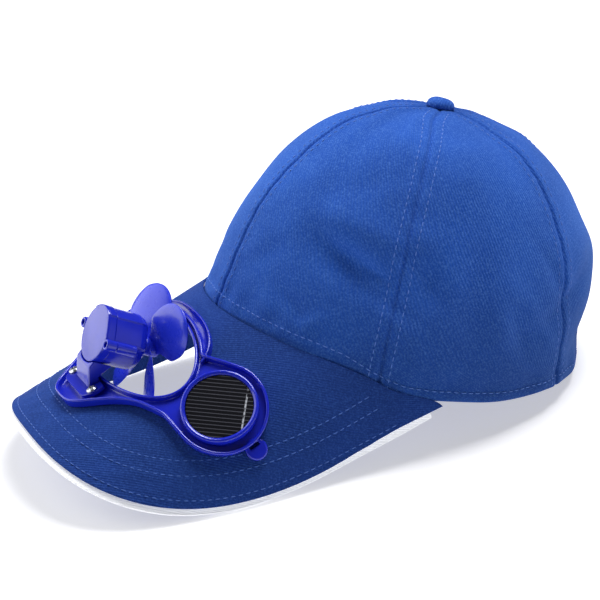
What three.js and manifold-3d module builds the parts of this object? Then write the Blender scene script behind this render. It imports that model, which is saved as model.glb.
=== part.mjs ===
// A six-panel sun cap with a solar fan set in its brim, in millimetres, +Z up.
// The brim points towards -Y and the wearer's left is +X. The cap rests on a table, as it would by itself.
import * as THREE from 'three';
import { mergeVertices } from 'three/addons/utils/BufferGeometryUtils.js';
import { TessellateModifier } from 'three/addons/modifiers/TessellateModifier.js';
import Module from 'manifold-3d';

const wasm = await Module();
wasm.setup();

// Crown: half lengths from the button's axis at the level of the front seam's foot
const CROWN_FRONT = 99;
const CROWN_BACK = 95;
const CROWN_SIDE = 86;
const CROWN_HEIGHT = 103;
const CROWN_WALL = 1.5;
const RIM_DROP_SIDE = 15.5;
const RIM_DROP_BACK = 9.5;
const RIM_TUCK_BACK = 4;
const APEX_HOLE_RADIUS = 3;
const SEAM_GAP = 0.38;
const SEAT_GAP = 0.3;
const BRIM_SEAM_GAP = 0.42;
const STRAP_SEAT_GAP = 0.6;
const TRAY_SEAT_GAP = 0.45;

// Button on the crown's top
const BUTTON_RADIUS = 6.8;
const BUTTON_HEIGHT = 4.2;
const BUTTON_STEM_LENGTH = 3;
const BUTTON_ROUNDNESS = 0.8;

// Opening and strap at the back
const ARCH_WIDTH = 70;
const ARCH_HEIGHT = 50;
const STRAP_HEIGHT = 18;
const STRAP_THICKNESS = 1.6;
const STRAP_RISE = 3;
const STRAP_OVERLAP = 14;

// Brim: an arched sheet that slopes down and forward from the front seam
const BRIM_LENGTH = 110;
const BRIM_HALF_WIDTH = 114;
const BRIM_SLOPE = THREE.MathUtils.degToRad(35.9);
const BRIM_CREST_RADIUS = 115;
const BRIM_SIDE_RADIUS = 58;
const BRIM_SIDE_REACH = 82;
const BRIM_ROUNDNESS = 2.7;
const BRIM_END_SHARE = 0.998;
const BRIM_TOP_THICKNESS = 1;
const BRIM_MIDDLE_THICKNESS = 1;
const BRIM_UNDER_THICKNESS = 1;
const BRIM_TOP_INSET = 2.8;
const BRIM_UNDER_INSET = 0.8;

// Fan unit's plastic tray, laid on the brim round the fan's hole
const HOLE_HALF_WIDTH = 40.5;
const HOLE_HALF_LENGTH = 23;
const HOLE_REACH = 42.5;
const TRAY_FLOOR = 1.4;
const TRAY_WALL = 1.5;
const TRAY_HEIGHT = 5;
const TRAY_NOSE_LENGTH = 20.5;
const TRAY_NOSE_REACH = HOLE_REACH + HOLE_HALF_LENGTH + TRAY_NOSE_LENGTH;
const COLLAR_WALL = 1.4;
const COLLAR_CHANNEL = 1.1;
const COLLAR_HEIGHT = 4.6;
const COLLAR_DEPTH = 5;
const LOBE_RADIUS = 21.8;
const LOBE_SPREAD = 58.8;
const LOBE_REACH = 32.3;
const LOBE_BACK_TURN = THREE.MathUtils.degToRad(108);
const SHOULDER_TURN = THREE.MathUtils.degToRad(40.5);
const DISH_HALF_WIDTH = 36;
const DISH_HALF_LENGTH = 24.6;
const DISH_REACH = 36;
const DISH_WALL = 1;
const DISH_HEIGHT = 4.4;
const DISH_ROUNDNESS = 2.6;
const EAR_RADIUS = 5;
const EAR_OFFSET = 24;
const EAR_SETBACK = 3;
const EAR_THICKNESS = 2.2;
const EAR_SLOT_LENGTH = 5;
const EAR_SLOT_WIDTH = 1.8;
const EAR_SLOT_SETBACK = 1.7;

// Solar cells in their bezels
const CELL_RADIUS = 15.2;
const CELL_THICKNESS = 1.4;
const BEZEL_RADIUS = 17.6;
const BEZEL_HEIGHT = 3.6;
const BEZEL_CHAMFER = 0.6;

// Motor, its bracket and the fan
const MOTOR_TILT = THREE.MathUtils.degToRad(48.6);
const MOTOR_REACH = 57.8;
const MOTOR_RISE = 21.7;
const MOTOR_RADIUS = 13;
const MOTOR_LENGTH = 22.5;
const MOTOR_CAP_LENGTH = 4.6;
const MOTOR_CAP_LIP = 0.4;
const BOSS_RADIUS = 2.6;
const BOSS_HOLE_RADIUS = 1.4;
const BOSS_SPREAD = 15.2;
const BOSS_LENGTH = 10;
const SHAFT_RADIUS = 1;
const SHAFT_BITE = 6;
const HUB_RADIUS = 4.2;
const HUB_LENGTH = 8;
const HUB_SETBACK = 3;
const BLADE_COUNT = 4;
const BLADE_TIP_RADIUS = 33;
const BLADE_WIDTH = 26;
const BLADE_THICKNESS = 1.1;
const BLADE_PITCH = THREE.MathUtils.degToRad(-18);
const BLADE_PHASE = THREE.MathUtils.degToRad(43);
const BLADE_ROOT_RADIUS = 2.3;
const BLADE_WIDEST_SHARE = 0.58;
const BLADE_NECK_SHARE = 0.59;
const BLADE_ROOT_TWIST = 1.6;
const BLADE_TIP_TWIST = 0.85;
const FOOT_THICKNESS = 1.8;
const FOOT_FRONT_HALF = 12;
const FOOT_BACK_HALF = 15;
const FOOT_NOSE_GAP = 7.5;
const POST_HALF_WIDTH = 8.6;
const POST_LENGTH = 6.4;
const SCREW_HEAD_RADIUS = 2.5;
const SCREW_HEAD_HEIGHT = 1.4;
const SCREW_EDGE_SHARE = 0.4;
const SCREW_SPREAD = 12.2;

// Rings of the crown from its top down: height, front, side and back as shares of the crown's sizes
const CROWN_RINGS = [
  { height: 1.000, front: 0.032, side: 0.037, back: 0.033 },
  { height: 0.993, front: 0.120, side: 0.130, back: 0.150 },
  { height: 0.974, front: 0.265, side: 0.240, back: 0.265 },
  { height: 0.945, front: 0.355, side: 0.345, back: 0.370 },
  { height: 0.892, front: 0.478, side: 0.490, back: 0.525 },
  { height: 0.815, front: 0.585, side: 0.600, back: 0.652 },
  { height: 0.710, front: 0.685, side: 0.700, back: 0.772 },
  { height: 0.590, front: 0.775, side: 0.785, back: 0.862 },
  { height: 0.455, front: 0.855, side: 0.860, back: 0.950 },
  { height: 0.305, front: 0.915, side: 0.925, back: 0.992 },
  { height: 0.150, front: 0.962, side: 0.970, back: 1.000 },
  { height: 0.000, front: 1.000, side: 1.000, back: 1.000 },
];

// Soft dents and folds of the cloth: turn from the front seam, height as a share of the crown's, depth in
// cloth walls (outward is positive), spread round the crown, spread in height, and lean of the fold
const CROWN_FOLDS = [
  { turn: 46, height: 0.33, depth: -2.2, round: 9, tall: 0.13, lean: -14 },
  { turn: 58, height: 0.20, depth: 1.3, round: 6, tall: 0.12, lean: -10 },
  { turn: 84, height: 0.24, depth: -1.0, round: 5, tall: 0.20, lean: 0 },
  { turn: 94, height: 0.24, depth: 0.9, round: 5, tall: 0.22, lean: 0 },
  { turn: 124, height: 0.30, depth: -1.6, round: 7, tall: 0.14, lean: 16 },
  { turn: 150, height: 0.52, depth: 0.9, round: 14, tall: 0.12, lean: 0 },
  { turn: 180, height: 0.42, depth: 1.6, round: 16, tall: 0.10, lean: 0 },
  { turn: -50, height: 0.32, depth: -1.8, round: 10, tall: 0.14, lean: 12 },
  { turn: -90, height: 0.26, depth: 1.0, round: 7, tall: 0.20, lean: 0 },
  { turn: -122, height: 0.34, depth: -1.5, round: 8, tall: 0.15, lean: -14 },
];

// Panels between the six seams, in degrees from the front seam towards the wearer's left
const PANELS = [
  { name: 'crown_front_left', from: 0, to: 60 },
  { name: 'crown_side_left', from: 60, to: 120 },
  { name: 'crown_back_left', from: 120, to: 180 },
  { name: 'crown_back_right', from: -180, to: -120 },
  { name: 'crown_side_right', from: -120, to: -60 },
  { name: 'crown_front_right', from: -60, to: 0 },
];

// Half outline of the tray's nose: width as a share of the lobes' spread, reach as a share of the nose's reach
const NOSE_OUTLINE = [
  { across: 0.00, along: 1.000 },
  { across: 0.13, along: 0.990 },
  { across: 0.22, along: 0.950 },
  { across: 0.31, along: 0.880 },
  { across: 0.45, along: 0.775 },
  { across: 0.60, along: 0.700 },
  { across: 0.80, along: 0.640 },
];

// Turns, in degrees from the front seam, between which the rim leaves the brim, rises and tucks in
const RIM_TURNS = {
  leave: { from: 46, to: 78 },
  rise: { from: 90, to: 132 },
  tuck: { from: 100, to: 150 },
};

// Saddle under the motor, from its front edge back: steps along and under the motor's axis in motor radii
const SADDLE = [
  { along: 0.85, under: 0.7 },
  { along: 0.40, under: 0.5 },
];

// How finely the shapes are drawn
const SKIRT_SHARE = 0.18;
const FADE_HEIGHT = 14;
const PANEL_STEPS_ROUND = 8;
const PANEL_STEPS_DOWN = 15;
const BRIM_STEPS_ACROSS = 44;
const BRIM_STEPS_ALONG = 3;
const STRAP_STEPS_ROUND = 16;
const STRAP_STEPS_DOWN = 2;
const BUTTON_STEPS = 4;
const BUTTON_SEGMENTS = 20;
const CURVE_SEGMENTS = 16;
const ARCH_SEGMENTS = 14;
const NOSE_STEPS = 32;
const DISH_STEPS = 36;
const CELL_SEGMENTS = 30;
const MOTOR_SEGMENTS = 36;
const SMALL_SEGMENTS = 12;
const SCREW_STEPS = 3;
const BLADE_STEPS_OUT = 9;
const BLADE_STEPS_ACROSS = 4;
const LEAN_STEPS = 60;
const HALVINGS = 30;
const NORMAL_STEP = 0.004;
const MERGE_DISTANCE = 1e-4;
const ARC_STEP = 1;
const ARC_SPAN = 1.3;
const BEND_EDGE = 12;
const BEND_PASSES = 16;

const { clamp, smoothstep, degToRad, lerp } = THREE.MathUtils;

const BLUE_CLOTH = new THREE.MeshStandardMaterial({ color: '#2450a8', roughness: 0.9, metalness: 0 });
const WHITE_CLOTH = new THREE.MeshStandardMaterial({ color: '#eef0f4', roughness: 0.9, metalness: 0 });
const BLUE_PLASTIC = new THREE.MeshStandardMaterial({ color: '#1a1fb5', roughness: 0.25, metalness: 0 });
const CELL_BLACK = new THREE.MeshStandardMaterial({ color: '#0c0d10', roughness: 0.2, metalness: 0 });
const STEEL = new THREE.MeshStandardMaterial({ color: '#c4c6ca', roughness: 0.25, metalness: 1 });

// Solids

// A closed body's volume has the sign of its winding
function signedVolume(position, index) {
  const [a, b, c] = [new THREE.Vector3(), new THREE.Vector3(), new THREE.Vector3()];
  let sum = 0;
  for (let i = 0; i < index.count; i += 3) {
    a.fromBufferAttribute(position, index.getX(i));
    b.fromBufferAttribute(position, index.getX(i + 1));
    c.fromBufferAttribute(position, index.getX(i + 2));
    sum += a.dot(b.cross(c)) / 6;
  }
  return sum;
}

// Positions only, shared vertices merged, faces pointing out
function closed(geometry) {
  const bare = geometry.clone();
  bare.deleteAttribute('normal');
  bare.deleteAttribute('uv');
  const merged = mergeVertices(bare, MERGE_DISTANCE);
  const index = merged.getIndex();
  if (signedVolume(merged.getAttribute('position'), index) < 0) {
    const flipped = Array.from(index.array);
    for (let i = 0; i < flipped.length; i += 3) {
      [flipped[i + 1], flipped[i + 2]] = [flipped[i + 2], flipped[i + 1]];
    }
    merged.setIndex(flipped);
  }
  return merged;
}

function toSolid(geometry) {
  const body = closed(geometry);
  return new wasm.Manifold(new wasm.Mesh({
    numProp: 3,
    vertProperties: new Float32Array(body.getAttribute('position').array),
    triVerts: new Uint32Array(body.getIndex().array),
  }));
}

function toGeometry(solid) {
  const mesh = solid.getMesh();
  const geometry = new THREE.BufferGeometry();
  geometry.setAttribute('position', new THREE.Float32BufferAttribute(mesh.vertProperties, 3));
  geometry.setIndex(Array.from(mesh.triVerts));
  return geometry;
}

function join(solids) {
  return solids.reduce((whole, solid) => whole.add(solid));
}

// A wall between two grids of points, closed round its four edges
function wall(stepsU, stepsV, outer, inner) {
  const points = [];
  const faces = [];
  const across = stepsV + 1;
  const layer = (stepsU + 1) * across;
  for (const side of [outer, inner]) {
    for (let i = 0; i <= stepsU; i += 1) {
      for (let j = 0; j <= stepsV; j += 1) points.push(...side(i / stepsU, j / stepsV).toArray());
    }
  }
  const quad = (a, b, c, d) => faces.push(a, b, c, a, c, d);
  for (let i = 0; i < stepsU; i += 1) {
    for (let j = 0; j < stepsV; j += 1) {
      const a = i * across + j;
      quad(a, a + across, a + across + 1, a + 1);
      quad(layer + a, layer + a + 1, layer + a + across + 1, layer + a + across);
    }
  }
  for (let i = 0; i < stepsU; i += 1) {
    const first = i * across;
    const last = first + stepsV;
    quad(first, layer + first, layer + first + across, first + across);
    quad(last, last + across, layer + last + across, layer + last);
  }
  for (let j = 0; j < stepsV; j += 1) {
    const end = stepsU * across + j;
    quad(j, j + 1, layer + j + 1, layer + j);
    quad(end, layer + end, layer + end + 1, end + 1);
  }
  const geometry = new THREE.BufferGeometry();
  geometry.setAttribute('position', new THREE.Float32BufferAttribute(points, 3));
  geometry.setIndex(faces);
  return closed(geometry);
}

// A flat outline raised from one height to another
function slab(shape, low, high, curveSegments = CURVE_SEGMENTS) {
  const geometry = new THREE.ExtrudeGeometry(shape, {
    depth: high - low,
    bevelEnabled: false,
    curveSegments,
  });
  return toSolid(geometry.translate(0, 0, low));
}

function tube(radius, low, high, segments) {
  return toSolid(new THREE.CylinderGeometry(radius, radius, high - low, segments)
    .rotateX(Math.PI / 2)
    .translate(0, 0, (high + low) / 2));
}

// Brim surface: the arch across it is the same at every distance from the crown

// The arch's curvature grows from the crest's to the sides' with the square of the distance from the crest
const ARCH_PATH = [{ arc: 0, turn: 0, across: 0, drop: 0 }];
for (let arc = ARC_STEP; arc <= BRIM_HALF_WIDTH * ARC_SPAN; arc += ARC_STEP) {
  const last = ARCH_PATH[ARCH_PATH.length - 1];
  const share = Math.min(1, (arc - ARC_STEP / 2) / BRIM_SIDE_REACH) ** 2;
  const step = lerp(1 / BRIM_CREST_RADIUS, 1 / BRIM_SIDE_RADIUS, share) * ARC_STEP;
  const middle = last.turn + step / 2;
  ARCH_PATH.push({
    arc,
    turn: last.turn + step,
    across: last.across + Math.cos(middle) * ARC_STEP,
    drop: last.drop + Math.sin(middle) * ARC_STEP,
  });
}

function archAt(arc) {
  const place = Math.abs(arc) / ARC_STEP;
  const index = Math.min(Math.floor(place), ARCH_PATH.length - 2);
  const [low, high] = [ARCH_PATH[index], ARCH_PATH[index + 1]];
  const share = Math.min(place - index, 1);
  const side = Math.sign(arc);
  return {
    turn: side * lerp(low.turn, high.turn, share),
    across: side * lerp(low.across, high.across, share),
    drop: lerp(low.drop, high.drop, share),
  };
}

// Point of the brim at a distance across it, a distance forward of the front seam, and a height over its cloth
function brimPoint(across, along, height) {
  const arch = archAt(across);
  const lift = height * Math.cos(arch.turn) - arch.drop;
  return new THREE.Vector3(
    arch.across + height * Math.sin(arch.turn),
    -CROWN_FRONT - lift * Math.sin(BRIM_SLOPE) - along * Math.cos(BRIM_SLOPE),
    lift * Math.cos(BRIM_SLOPE) - along * Math.sin(BRIM_SLOPE),
  );
}

// Where the brim's sheet meets the crown's wall, measured forward of the front seam
function brimInnerEdge(across, height, gap) {
  const start = brimPoint(across, 0, height);
  const x = clamp(start.x / (CROWN_SIDE + gap), -1, 1);
  const wallY = -(CROWN_FRONT + gap) * Math.sqrt(1 - x * x);
  return (start.y - wallY) / Math.cos(BRIM_SLOPE);
}

const BRIM_SIDE_END = brimInnerEdge(BRIM_HALF_WIDTH, 0, 0);

// The brim's outer edge is a rounded rectangle's quarter, drawn by a power curve
function brimOuterEdge(across, inset) {
  const share = clamp(Math.abs(across) / (BRIM_HALF_WIDTH - inset), 0, 1);
  const reach = BRIM_LENGTH - inset - BRIM_SIDE_END;
  return BRIM_SIDE_END + reach * (1 - share ** BRIM_ROUNDNESS) ** (1 / BRIM_ROUNDNESS);
}

// Crown surface

const BRIM_THICKNESS = BRIM_TOP_THICKNESS + BRIM_MIDDLE_THICKNESS + BRIM_UNDER_THICKNESS + 2 * SEAT_GAP;
const ringRadii = new THREE.CatmullRomCurve3(
  CROWN_RINGS.map((ring) => new THREE.Vector3(ring.front, ring.side, ring.back)),
  false, 'catmullrom',
);
const ringHeights = new THREE.SplineCurve(
  CROWN_RINGS.map((ring, i) => new THREE.Vector2(i, ring.height)),
);

function ease(turn, turns) {
  return smoothstep(Math.abs(turn), degToRad(turns.from), degToRad(turns.to));
}

// The rim follows the under side of the brim in front and runs on round the sides and back
function rimHeight(turn) {
  const x = CROWN_SIDE * Math.sin(Math.abs(turn));
  let arc = 0;
  while (archAt(arc).across < x && arc < BRIM_HALF_WIDTH) arc += ARC_STEP;
  const seam = brimPoint(arc, brimInnerEdge(arc, -BRIM_THICKNESS, 0), -BRIM_THICKNESS).z;
  const free = -lerp(RIM_DROP_SIDE, RIM_DROP_BACK, ease(turn, RIM_TURNS.rise));
  return lerp(seam, free, ease(turn, RIM_TURNS.leave));
}

function foldDepth(turn, height) {
  return CROWN_FOLDS.reduce((sum, fold) => {
    const tall = (height / CROWN_HEIGHT - fold.height) / fold.tall;
    const centre = degToRad(fold.turn + fold.lean * tall);
    const away = Math.atan2(Math.sin(turn - centre), Math.cos(turn - centre)) / degToRad(fold.round);
    return sum + fold.depth * CROWN_WALL * Math.exp(-away * away - tall * tall);
  }, 0);
}

// Crown point from its turn about the button's axis and its share of the way from top to rim
function crownPoint(turn, down) {
  const ring = clamp(down / (1 - SKIRT_SHARE), 0, 1);
  const radii = ringRadii.getPoint(ring);
  const skirt = clamp((down - 1 + SKIRT_SHARE) / SKIRT_SHARE, 0, 1);
  const rim = rimHeight(turn);
  const z = ringHeights.getPoint(ring).y * CROWN_HEIGHT + skirt * rim;
  const ahead = Math.cos(turn) > 0;
  const tuck = RIM_TUCK_BACK * skirt * ease(turn, RIM_TURNS.tuck);
  const length = ahead ? CROWN_FRONT * radii.x : CROWN_BACK * radii.z - tuck;
  const push = foldDepth(turn, z) * smoothstep(z - rim, 0, FADE_HEIGHT);
  const swell = 1 + push / CROWN_SIDE;
  return new THREE.Vector3(
    CROWN_SIDE * radii.y * swell * Math.sin(turn),
    -length * swell * Math.cos(turn),
    z,
  );
}

function crownNormal(turn, down) {
  const high = Math.min(down + NORMAL_STEP, 1);
  const low = Math.max(down - NORMAL_STEP, 0);
  const round = crownPoint(turn + NORMAL_STEP, down).sub(crownPoint(turn - NORMAL_STEP, down));
  const fall = crownPoint(turn, high).sub(crownPoint(turn, low));
  return fall.cross(round).normalize();
}

function crownDownAt(turn, z) {
  let [low, high] = [0, 1];
  for (let i = 0; i < HALVINGS; i += 1) {
    const middle = (low + high) / 2;
    if (crownPoint(turn, middle).z > z) low = middle;
    else high = middle;
  }
  return (low + high) / 2;
}

function crownOffset(turn, down, depth) {
  return crownPoint(turn, down).addScaledVector(crownNormal(turn, down), -depth);
}

function backOpening() {
  const shape = new THREE.Shape();
  const half = ARCH_WIDTH / 2;
  const shoulder = ARCH_HEIGHT - half - RIM_DROP_BACK;
  const below = -RIM_DROP_SIDE - ARCH_HEIGHT;
  shape.moveTo(-half, below);
  shape.lineTo(half, below);
  shape.lineTo(half, shoulder);
  shape.absarc(0, shoulder, half, 0, Math.PI, false);
  shape.lineTo(-half, below);
  const prism = new THREE.ExtrudeGeometry(shape, {
    depth: CROWN_BACK,
    bevelEnabled: false,
    curveSegments: ARCH_SEGMENTS,
  });
  return toSolid(prism.rotateX(Math.PI / 2).translate(0, CROWN_BACK * 3 / 2, 0));
}

function crownPanel(panel, opening) {
  const rootTurn = degToRad(panel.from);
  const span = degToRad(panel.to - panel.from);
  const place = (u, v, depth) => {
    const rough = crownPoint(rootTurn + span * u, v);
    const shy = (SEAM_GAP / 2) / Math.hypot(rough.x, rough.y);
    return crownOffset(lerp(rootTurn + shy, rootTurn + span - shy, u), v, depth);
  };
  const shell = wall(
    PANEL_STEPS_ROUND, PANEL_STEPS_DOWN,
    (u, v) => place(u, v, 0), (u, v) => place(u, v, CROWN_WALL),
  );
  const isBack = Math.abs(panel.from) === 180 || Math.abs(panel.to) === 180;
  return isBack ? toGeometry(toSolid(shell).subtract(opening)) : shell;
}

function topButton() {
  const stem = APEX_HOLE_RADIUS - 2 * SEAT_GAP;
  const top = CROWN_HEIGHT + SEAT_GAP;
  const points = [
    new THREE.Vector2(0, top - BUTTON_STEM_LENGTH),
    new THREE.Vector2(stem, top - BUTTON_STEM_LENGTH),
    new THREE.Vector2(stem, top),
    new THREE.Vector2(BUTTON_RADIUS, top),
  ];
  for (let i = 1; i <= BUTTON_STEPS; i += 1) {
    const angle = (i / BUTTON_STEPS) * Math.PI / 2;
    points.push(new THREE.Vector2(
      i === BUTTON_STEPS ? 0 : BUTTON_RADIUS * Math.cos(angle) ** BUTTON_ROUNDNESS,
      top + BUTTON_HEIGHT * Math.sin(angle) ** BUTTON_ROUNDNESS,
    ));
  }
  return closed(new THREE.LatheGeometry(points, BUTTON_SEGMENTS).rotateX(Math.PI / 2));
}

function backStrap() {
  const half = ARCH_WIDTH / 2 + STRAP_OVERLAP;
  const reach = Math.asin(half / CROWN_SIDE);
  const place = (u, v, depth) => {
    const turn = Math.PI + lerp(-reach, reach, u);
    const z = rimHeight(Math.PI) + STRAP_RISE + STRAP_HEIGHT * (1 - v);
    return crownOffset(turn, crownDownAt(turn, z), depth);
  };
  const near = CROWN_WALL + STRAP_SEAT_GAP;
  return wall(
    STRAP_STEPS_ROUND, STRAP_STEPS_DOWN,
    (u, v) => place(u, v, near), (u, v) => place(u, v, near + STRAP_THICKNESS),
  );
}

// Brim layers

function brimCutter() {
  const grow = COLLAR_WALL + SEAT_GAP;
  const shape = new THREE.Shape();
  shape.absellipse(0, HOLE_REACH, HOLE_HALF_WIDTH + grow, HOLE_HALF_LENGTH + grow, 0, Math.PI * 2, false);
  return bend(slab(shape, -COLLAR_DEPTH * 2, COLLAR_DEPTH));
}

// A flat body over the brim, cut fine enough to follow its arch, then laid on it
function bend(solid) {
  const fine = new TessellateModifier(BEND_EDGE, BEND_PASSES).modify(toGeometry(solid).toNonIndexed());
  const position = fine.getAttribute('position');
  for (let i = 0; i < position.count; i += 1) {
    const point = brimPoint(position.getX(i), position.getY(i), position.getZ(i));
    position.setXYZ(i, point.x, point.y, point.z);
  }
  return toSolid(fine);
}

function brimLayer(high, thickness, inset, cutter) {
  const half = (BRIM_HALF_WIDTH - inset) * BRIM_END_SHARE;
  const place = (u, v, height) => {
    const across = half * Math.sin((u - 0.5) * Math.PI);
    const inner = brimInnerEdge(across, height, BRIM_SEAM_GAP);
    const outer = Math.max(brimOuterEdge(across, inset), inner + thickness);
    return brimPoint(across, lerp(inner, outer, v), height);
  };
  const sheet = wall(
    BRIM_STEPS_ACROSS, BRIM_STEPS_ALONG,
    (u, v) => place(u, v, high), (u, v) => place(u, v, high - thickness),
  );
  return toGeometry(toSolid(sheet).subtract(cutter));
}

// Fan unit's tray

function ellipse(halfWidth, halfLength, reach) {
  const shape = new THREE.Shape();
  shape.absellipse(0, reach, halfWidth, halfLength, 0, Math.PI * 2, false);
  return shape;
}

function disc(radius, across, along) {
  const shape = new THREE.Shape();
  shape.absarc(across, along, radius, 0, Math.PI * 2, false);
  return shape;
}

// The nose and its two arms, pulled in by an inset
function noseShape(inset) {
  const half = NOSE_OUTLINE.map((row) => new THREE.Vector2(row.across * LOBE_SPREAD, row.along * TRAY_NOSE_REACH));
  const whole = [...half.slice(1).reverse().map((p) => new THREE.Vector2(-p.x, p.y)), ...half];
  const curve = new THREE.SplineCurve(whole);
  const edge = Array.from({ length: NOSE_STEPS + 1 }, (_, i) => {
    const tangent = curve.getTangent(i / NOSE_STEPS);
    const normal = new THREE.Vector2(tangent.y, -tangent.x);
    return curve.getPoint(i / NOSE_STEPS).addScaledVector(normal, inset);
  });
  const lobeFront = LOBE_REACH + LOBE_RADIUS - inset;
  return new THREE.Shape([
    new THREE.Vector2(-LOBE_SPREAD, lobeFront),
    ...edge,
    new THREE.Vector2(LOBE_SPREAD, lobeFront),
    new THREE.Vector2(LOBE_SPREAD, LOBE_REACH),
    new THREE.Vector2(0, HOLE_REACH),
    new THREE.Vector2(-LOBE_SPREAD, LOBE_REACH),
  ]);
}

// The shoulder from the hole's back corner to the lobe's back edge
function shoulderShape(side, inset) {
  const ring = COLLAR_WALL + COLLAR_CHANNEL + TRAY_WALL - inset;
  const cornerAcross = (HOLE_HALF_WIDTH + ring) * Math.cos(SHOULDER_TURN);
  const cornerAlong = HOLE_REACH - (HOLE_HALF_LENGTH + ring) * Math.sin(SHOULDER_TURN);
  const radius = LOBE_RADIUS - inset;
  const lobeAcross = LOBE_SPREAD + radius * Math.cos(LOBE_BACK_TURN);
  const lobeAlong = LOBE_REACH - radius * Math.sin(LOBE_BACK_TURN);
  return new THREE.Shape([
    new THREE.Vector2(side * cornerAcross, cornerAlong),
    new THREE.Vector2(side * lobeAcross, lobeAlong),
    new THREE.Vector2(side * LOBE_SPREAD, LOBE_REACH),
    new THREE.Vector2(side * (HOLE_HALF_WIDTH - ring), HOLE_REACH),
  ]);
}

function trayBody(inset, low, high) {
  const ring = COLLAR_WALL + COLLAR_CHANNEL + TRAY_WALL - inset;
  const parts = [
    slab(noseShape(inset), low, high),
    slab(ellipse(HOLE_HALF_WIDTH + ring, HOLE_HALF_LENGTH + ring, HOLE_REACH), low, high),
  ];
  for (const side of [-1, 1]) {
    parts.push(slab(disc(LOBE_RADIUS - inset, side * LOBE_SPREAD, LOBE_REACH), low, high));
    parts.push(slab(shoulderShape(side, inset), low, high));
  }
  return join(parts);
}

function dishShape(inset) {
  const points = [];
  const power = 2 / DISH_ROUNDNESS;
  for (let i = 0; i < DISH_STEPS; i += 1) {
    const angle = (i / DISH_STEPS) * Math.PI * 2;
    const [c, s] = [Math.cos(angle), Math.sin(angle)];
    points.push(new THREE.Vector2(
      (DISH_HALF_WIDTH - inset) * Math.sign(c) * Math.abs(c) ** power,
      DISH_REACH + (DISH_HALF_LENGTH - inset) * Math.sign(s) * Math.abs(s) ** power,
    ));
  }
  return new THREE.Shape(points);
}

function ear(side) {
  const across = side * (LOBE_SPREAD + EAR_OFFSET);
  const along = LOBE_REACH - EAR_SETBACK;
  const tab = new THREE.Shape();
  tab.absarc(across, along, EAR_RADIUS, 0, Math.PI * 2, false);
  const slot = new THREE.Shape();
  const [x, half] = [across - side * EAR_SLOT_SETBACK, EAR_SLOT_LENGTH / 2];
  slot.moveTo(x - EAR_SLOT_WIDTH / 2, along - half);
  slot.lineTo(x + EAR_SLOT_WIDTH / 2, along - half);
  slot.lineTo(x + EAR_SLOT_WIDTH / 2, along + half);
  slot.lineTo(x - EAR_SLOT_WIDTH / 2, along + half);
  return {
    tab: slab(tab, TRAY_SEAT_GAP, TRAY_SEAT_GAP + EAR_THICKNESS, SMALL_SEGMENTS),
    slot: slab(slot, 0, TRAY_HEIGHT * 2),
  };
}

function fanTray() {
  const floorTop = TRAY_SEAT_GAP + TRAY_FLOOR;
  const rim = trayBody(0, floorTop - TRAY_FLOOR / 2, TRAY_HEIGHT)
    .subtract(trayBody(TRAY_WALL, 0, TRAY_HEIGHT * 2));
  const dishFloor = slab(dishShape(0), TRAY_SEAT_GAP, floorTop);
  const dishRim = slab(dishShape(0), floorTop - TRAY_FLOOR / 2, DISH_HEIGHT)
    .subtract(slab(dishShape(DISH_WALL), 0, TRAY_HEIGHT * 2))
    .subtract(trayBody(TRAY_WALL / 2, 0, TRAY_HEIGHT * 2));
  const collar = ellipse(HOLE_HALF_WIDTH + COLLAR_WALL, HOLE_HALF_LENGTH + COLLAR_WALL, HOLE_REACH);
  const hole = ellipse(HOLE_HALF_WIDTH, HOLE_HALF_LENGTH, HOLE_REACH);
  const ears = [-1, 1].map(ear);
  const whole = join([
    trayBody(0, TRAY_SEAT_GAP, floorTop),
    rim, dishFloor, dishRim,
    slab(collar, -COLLAR_DEPTH, COLLAR_HEIGHT),
    ...ears.map((part) => part.tab),
  ]);
  const cut = join([slab(hole, -COLLAR_DEPTH * 2, TRAY_HEIGHT * 2), ...ears.map((part) => part.slot)]);
  return toGeometry(bend(whole.subtract(cut)));
}

// Round parts stand along +Z in their own frame

function bezel() {
  const inner = CELL_RADIUS + SEAT_GAP;
  const ledge = CELL_RADIUS - 2 * CELL_THICKNESS;
  const points = [
    [inner, BEZEL_HEIGHT - BEZEL_CHAMFER], [inner + BEZEL_CHAMFER, BEZEL_HEIGHT],
    [BEZEL_RADIUS - BEZEL_CHAMFER, BEZEL_HEIGHT], [BEZEL_RADIUS, BEZEL_HEIGHT - BEZEL_CHAMFER],
    [BEZEL_RADIUS, 0],
    [ledge, 0], [ledge, CELL_THICKNESS / 2], [inner, CELL_THICKNESS / 2],
  ].map(([r, z]) => new THREE.Vector2(r, z));
  return closed(new THREE.LatheGeometry([...points, points[0]], CELL_SEGMENTS).rotateX(Math.PI / 2));
}

function solarCell() {
  const low = CELL_THICKNESS / 2 + SEAT_GAP;
  return toGeometry(tube(CELL_RADIUS, low, low + CELL_THICKNESS, CELL_SEGMENTS));
}

function motorCap() {
  const radius = MOTOR_RADIUS + MOTOR_CAP_LIP;
  const bosses = [-1, 1].map((side) => tube(BOSS_RADIUS, -MOTOR_CAP_LENGTH, 0, SMALL_SEGMENTS)
    .translate([side * BOSS_SPREAD, 0, 0]));
  const holes = [-1, 1].map((side) => tube(BOSS_HOLE_RADIUS, -MOTOR_CAP_LENGTH * 2, 1, SMALL_SEGMENTS)
    .translate([side * BOSS_SPREAD, 0, 0]));
  return toGeometry(join([tube(radius, -MOTOR_CAP_LENGTH, 0, MOTOR_SEGMENTS), ...bosses]).subtract(join(holes)));
}

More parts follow.
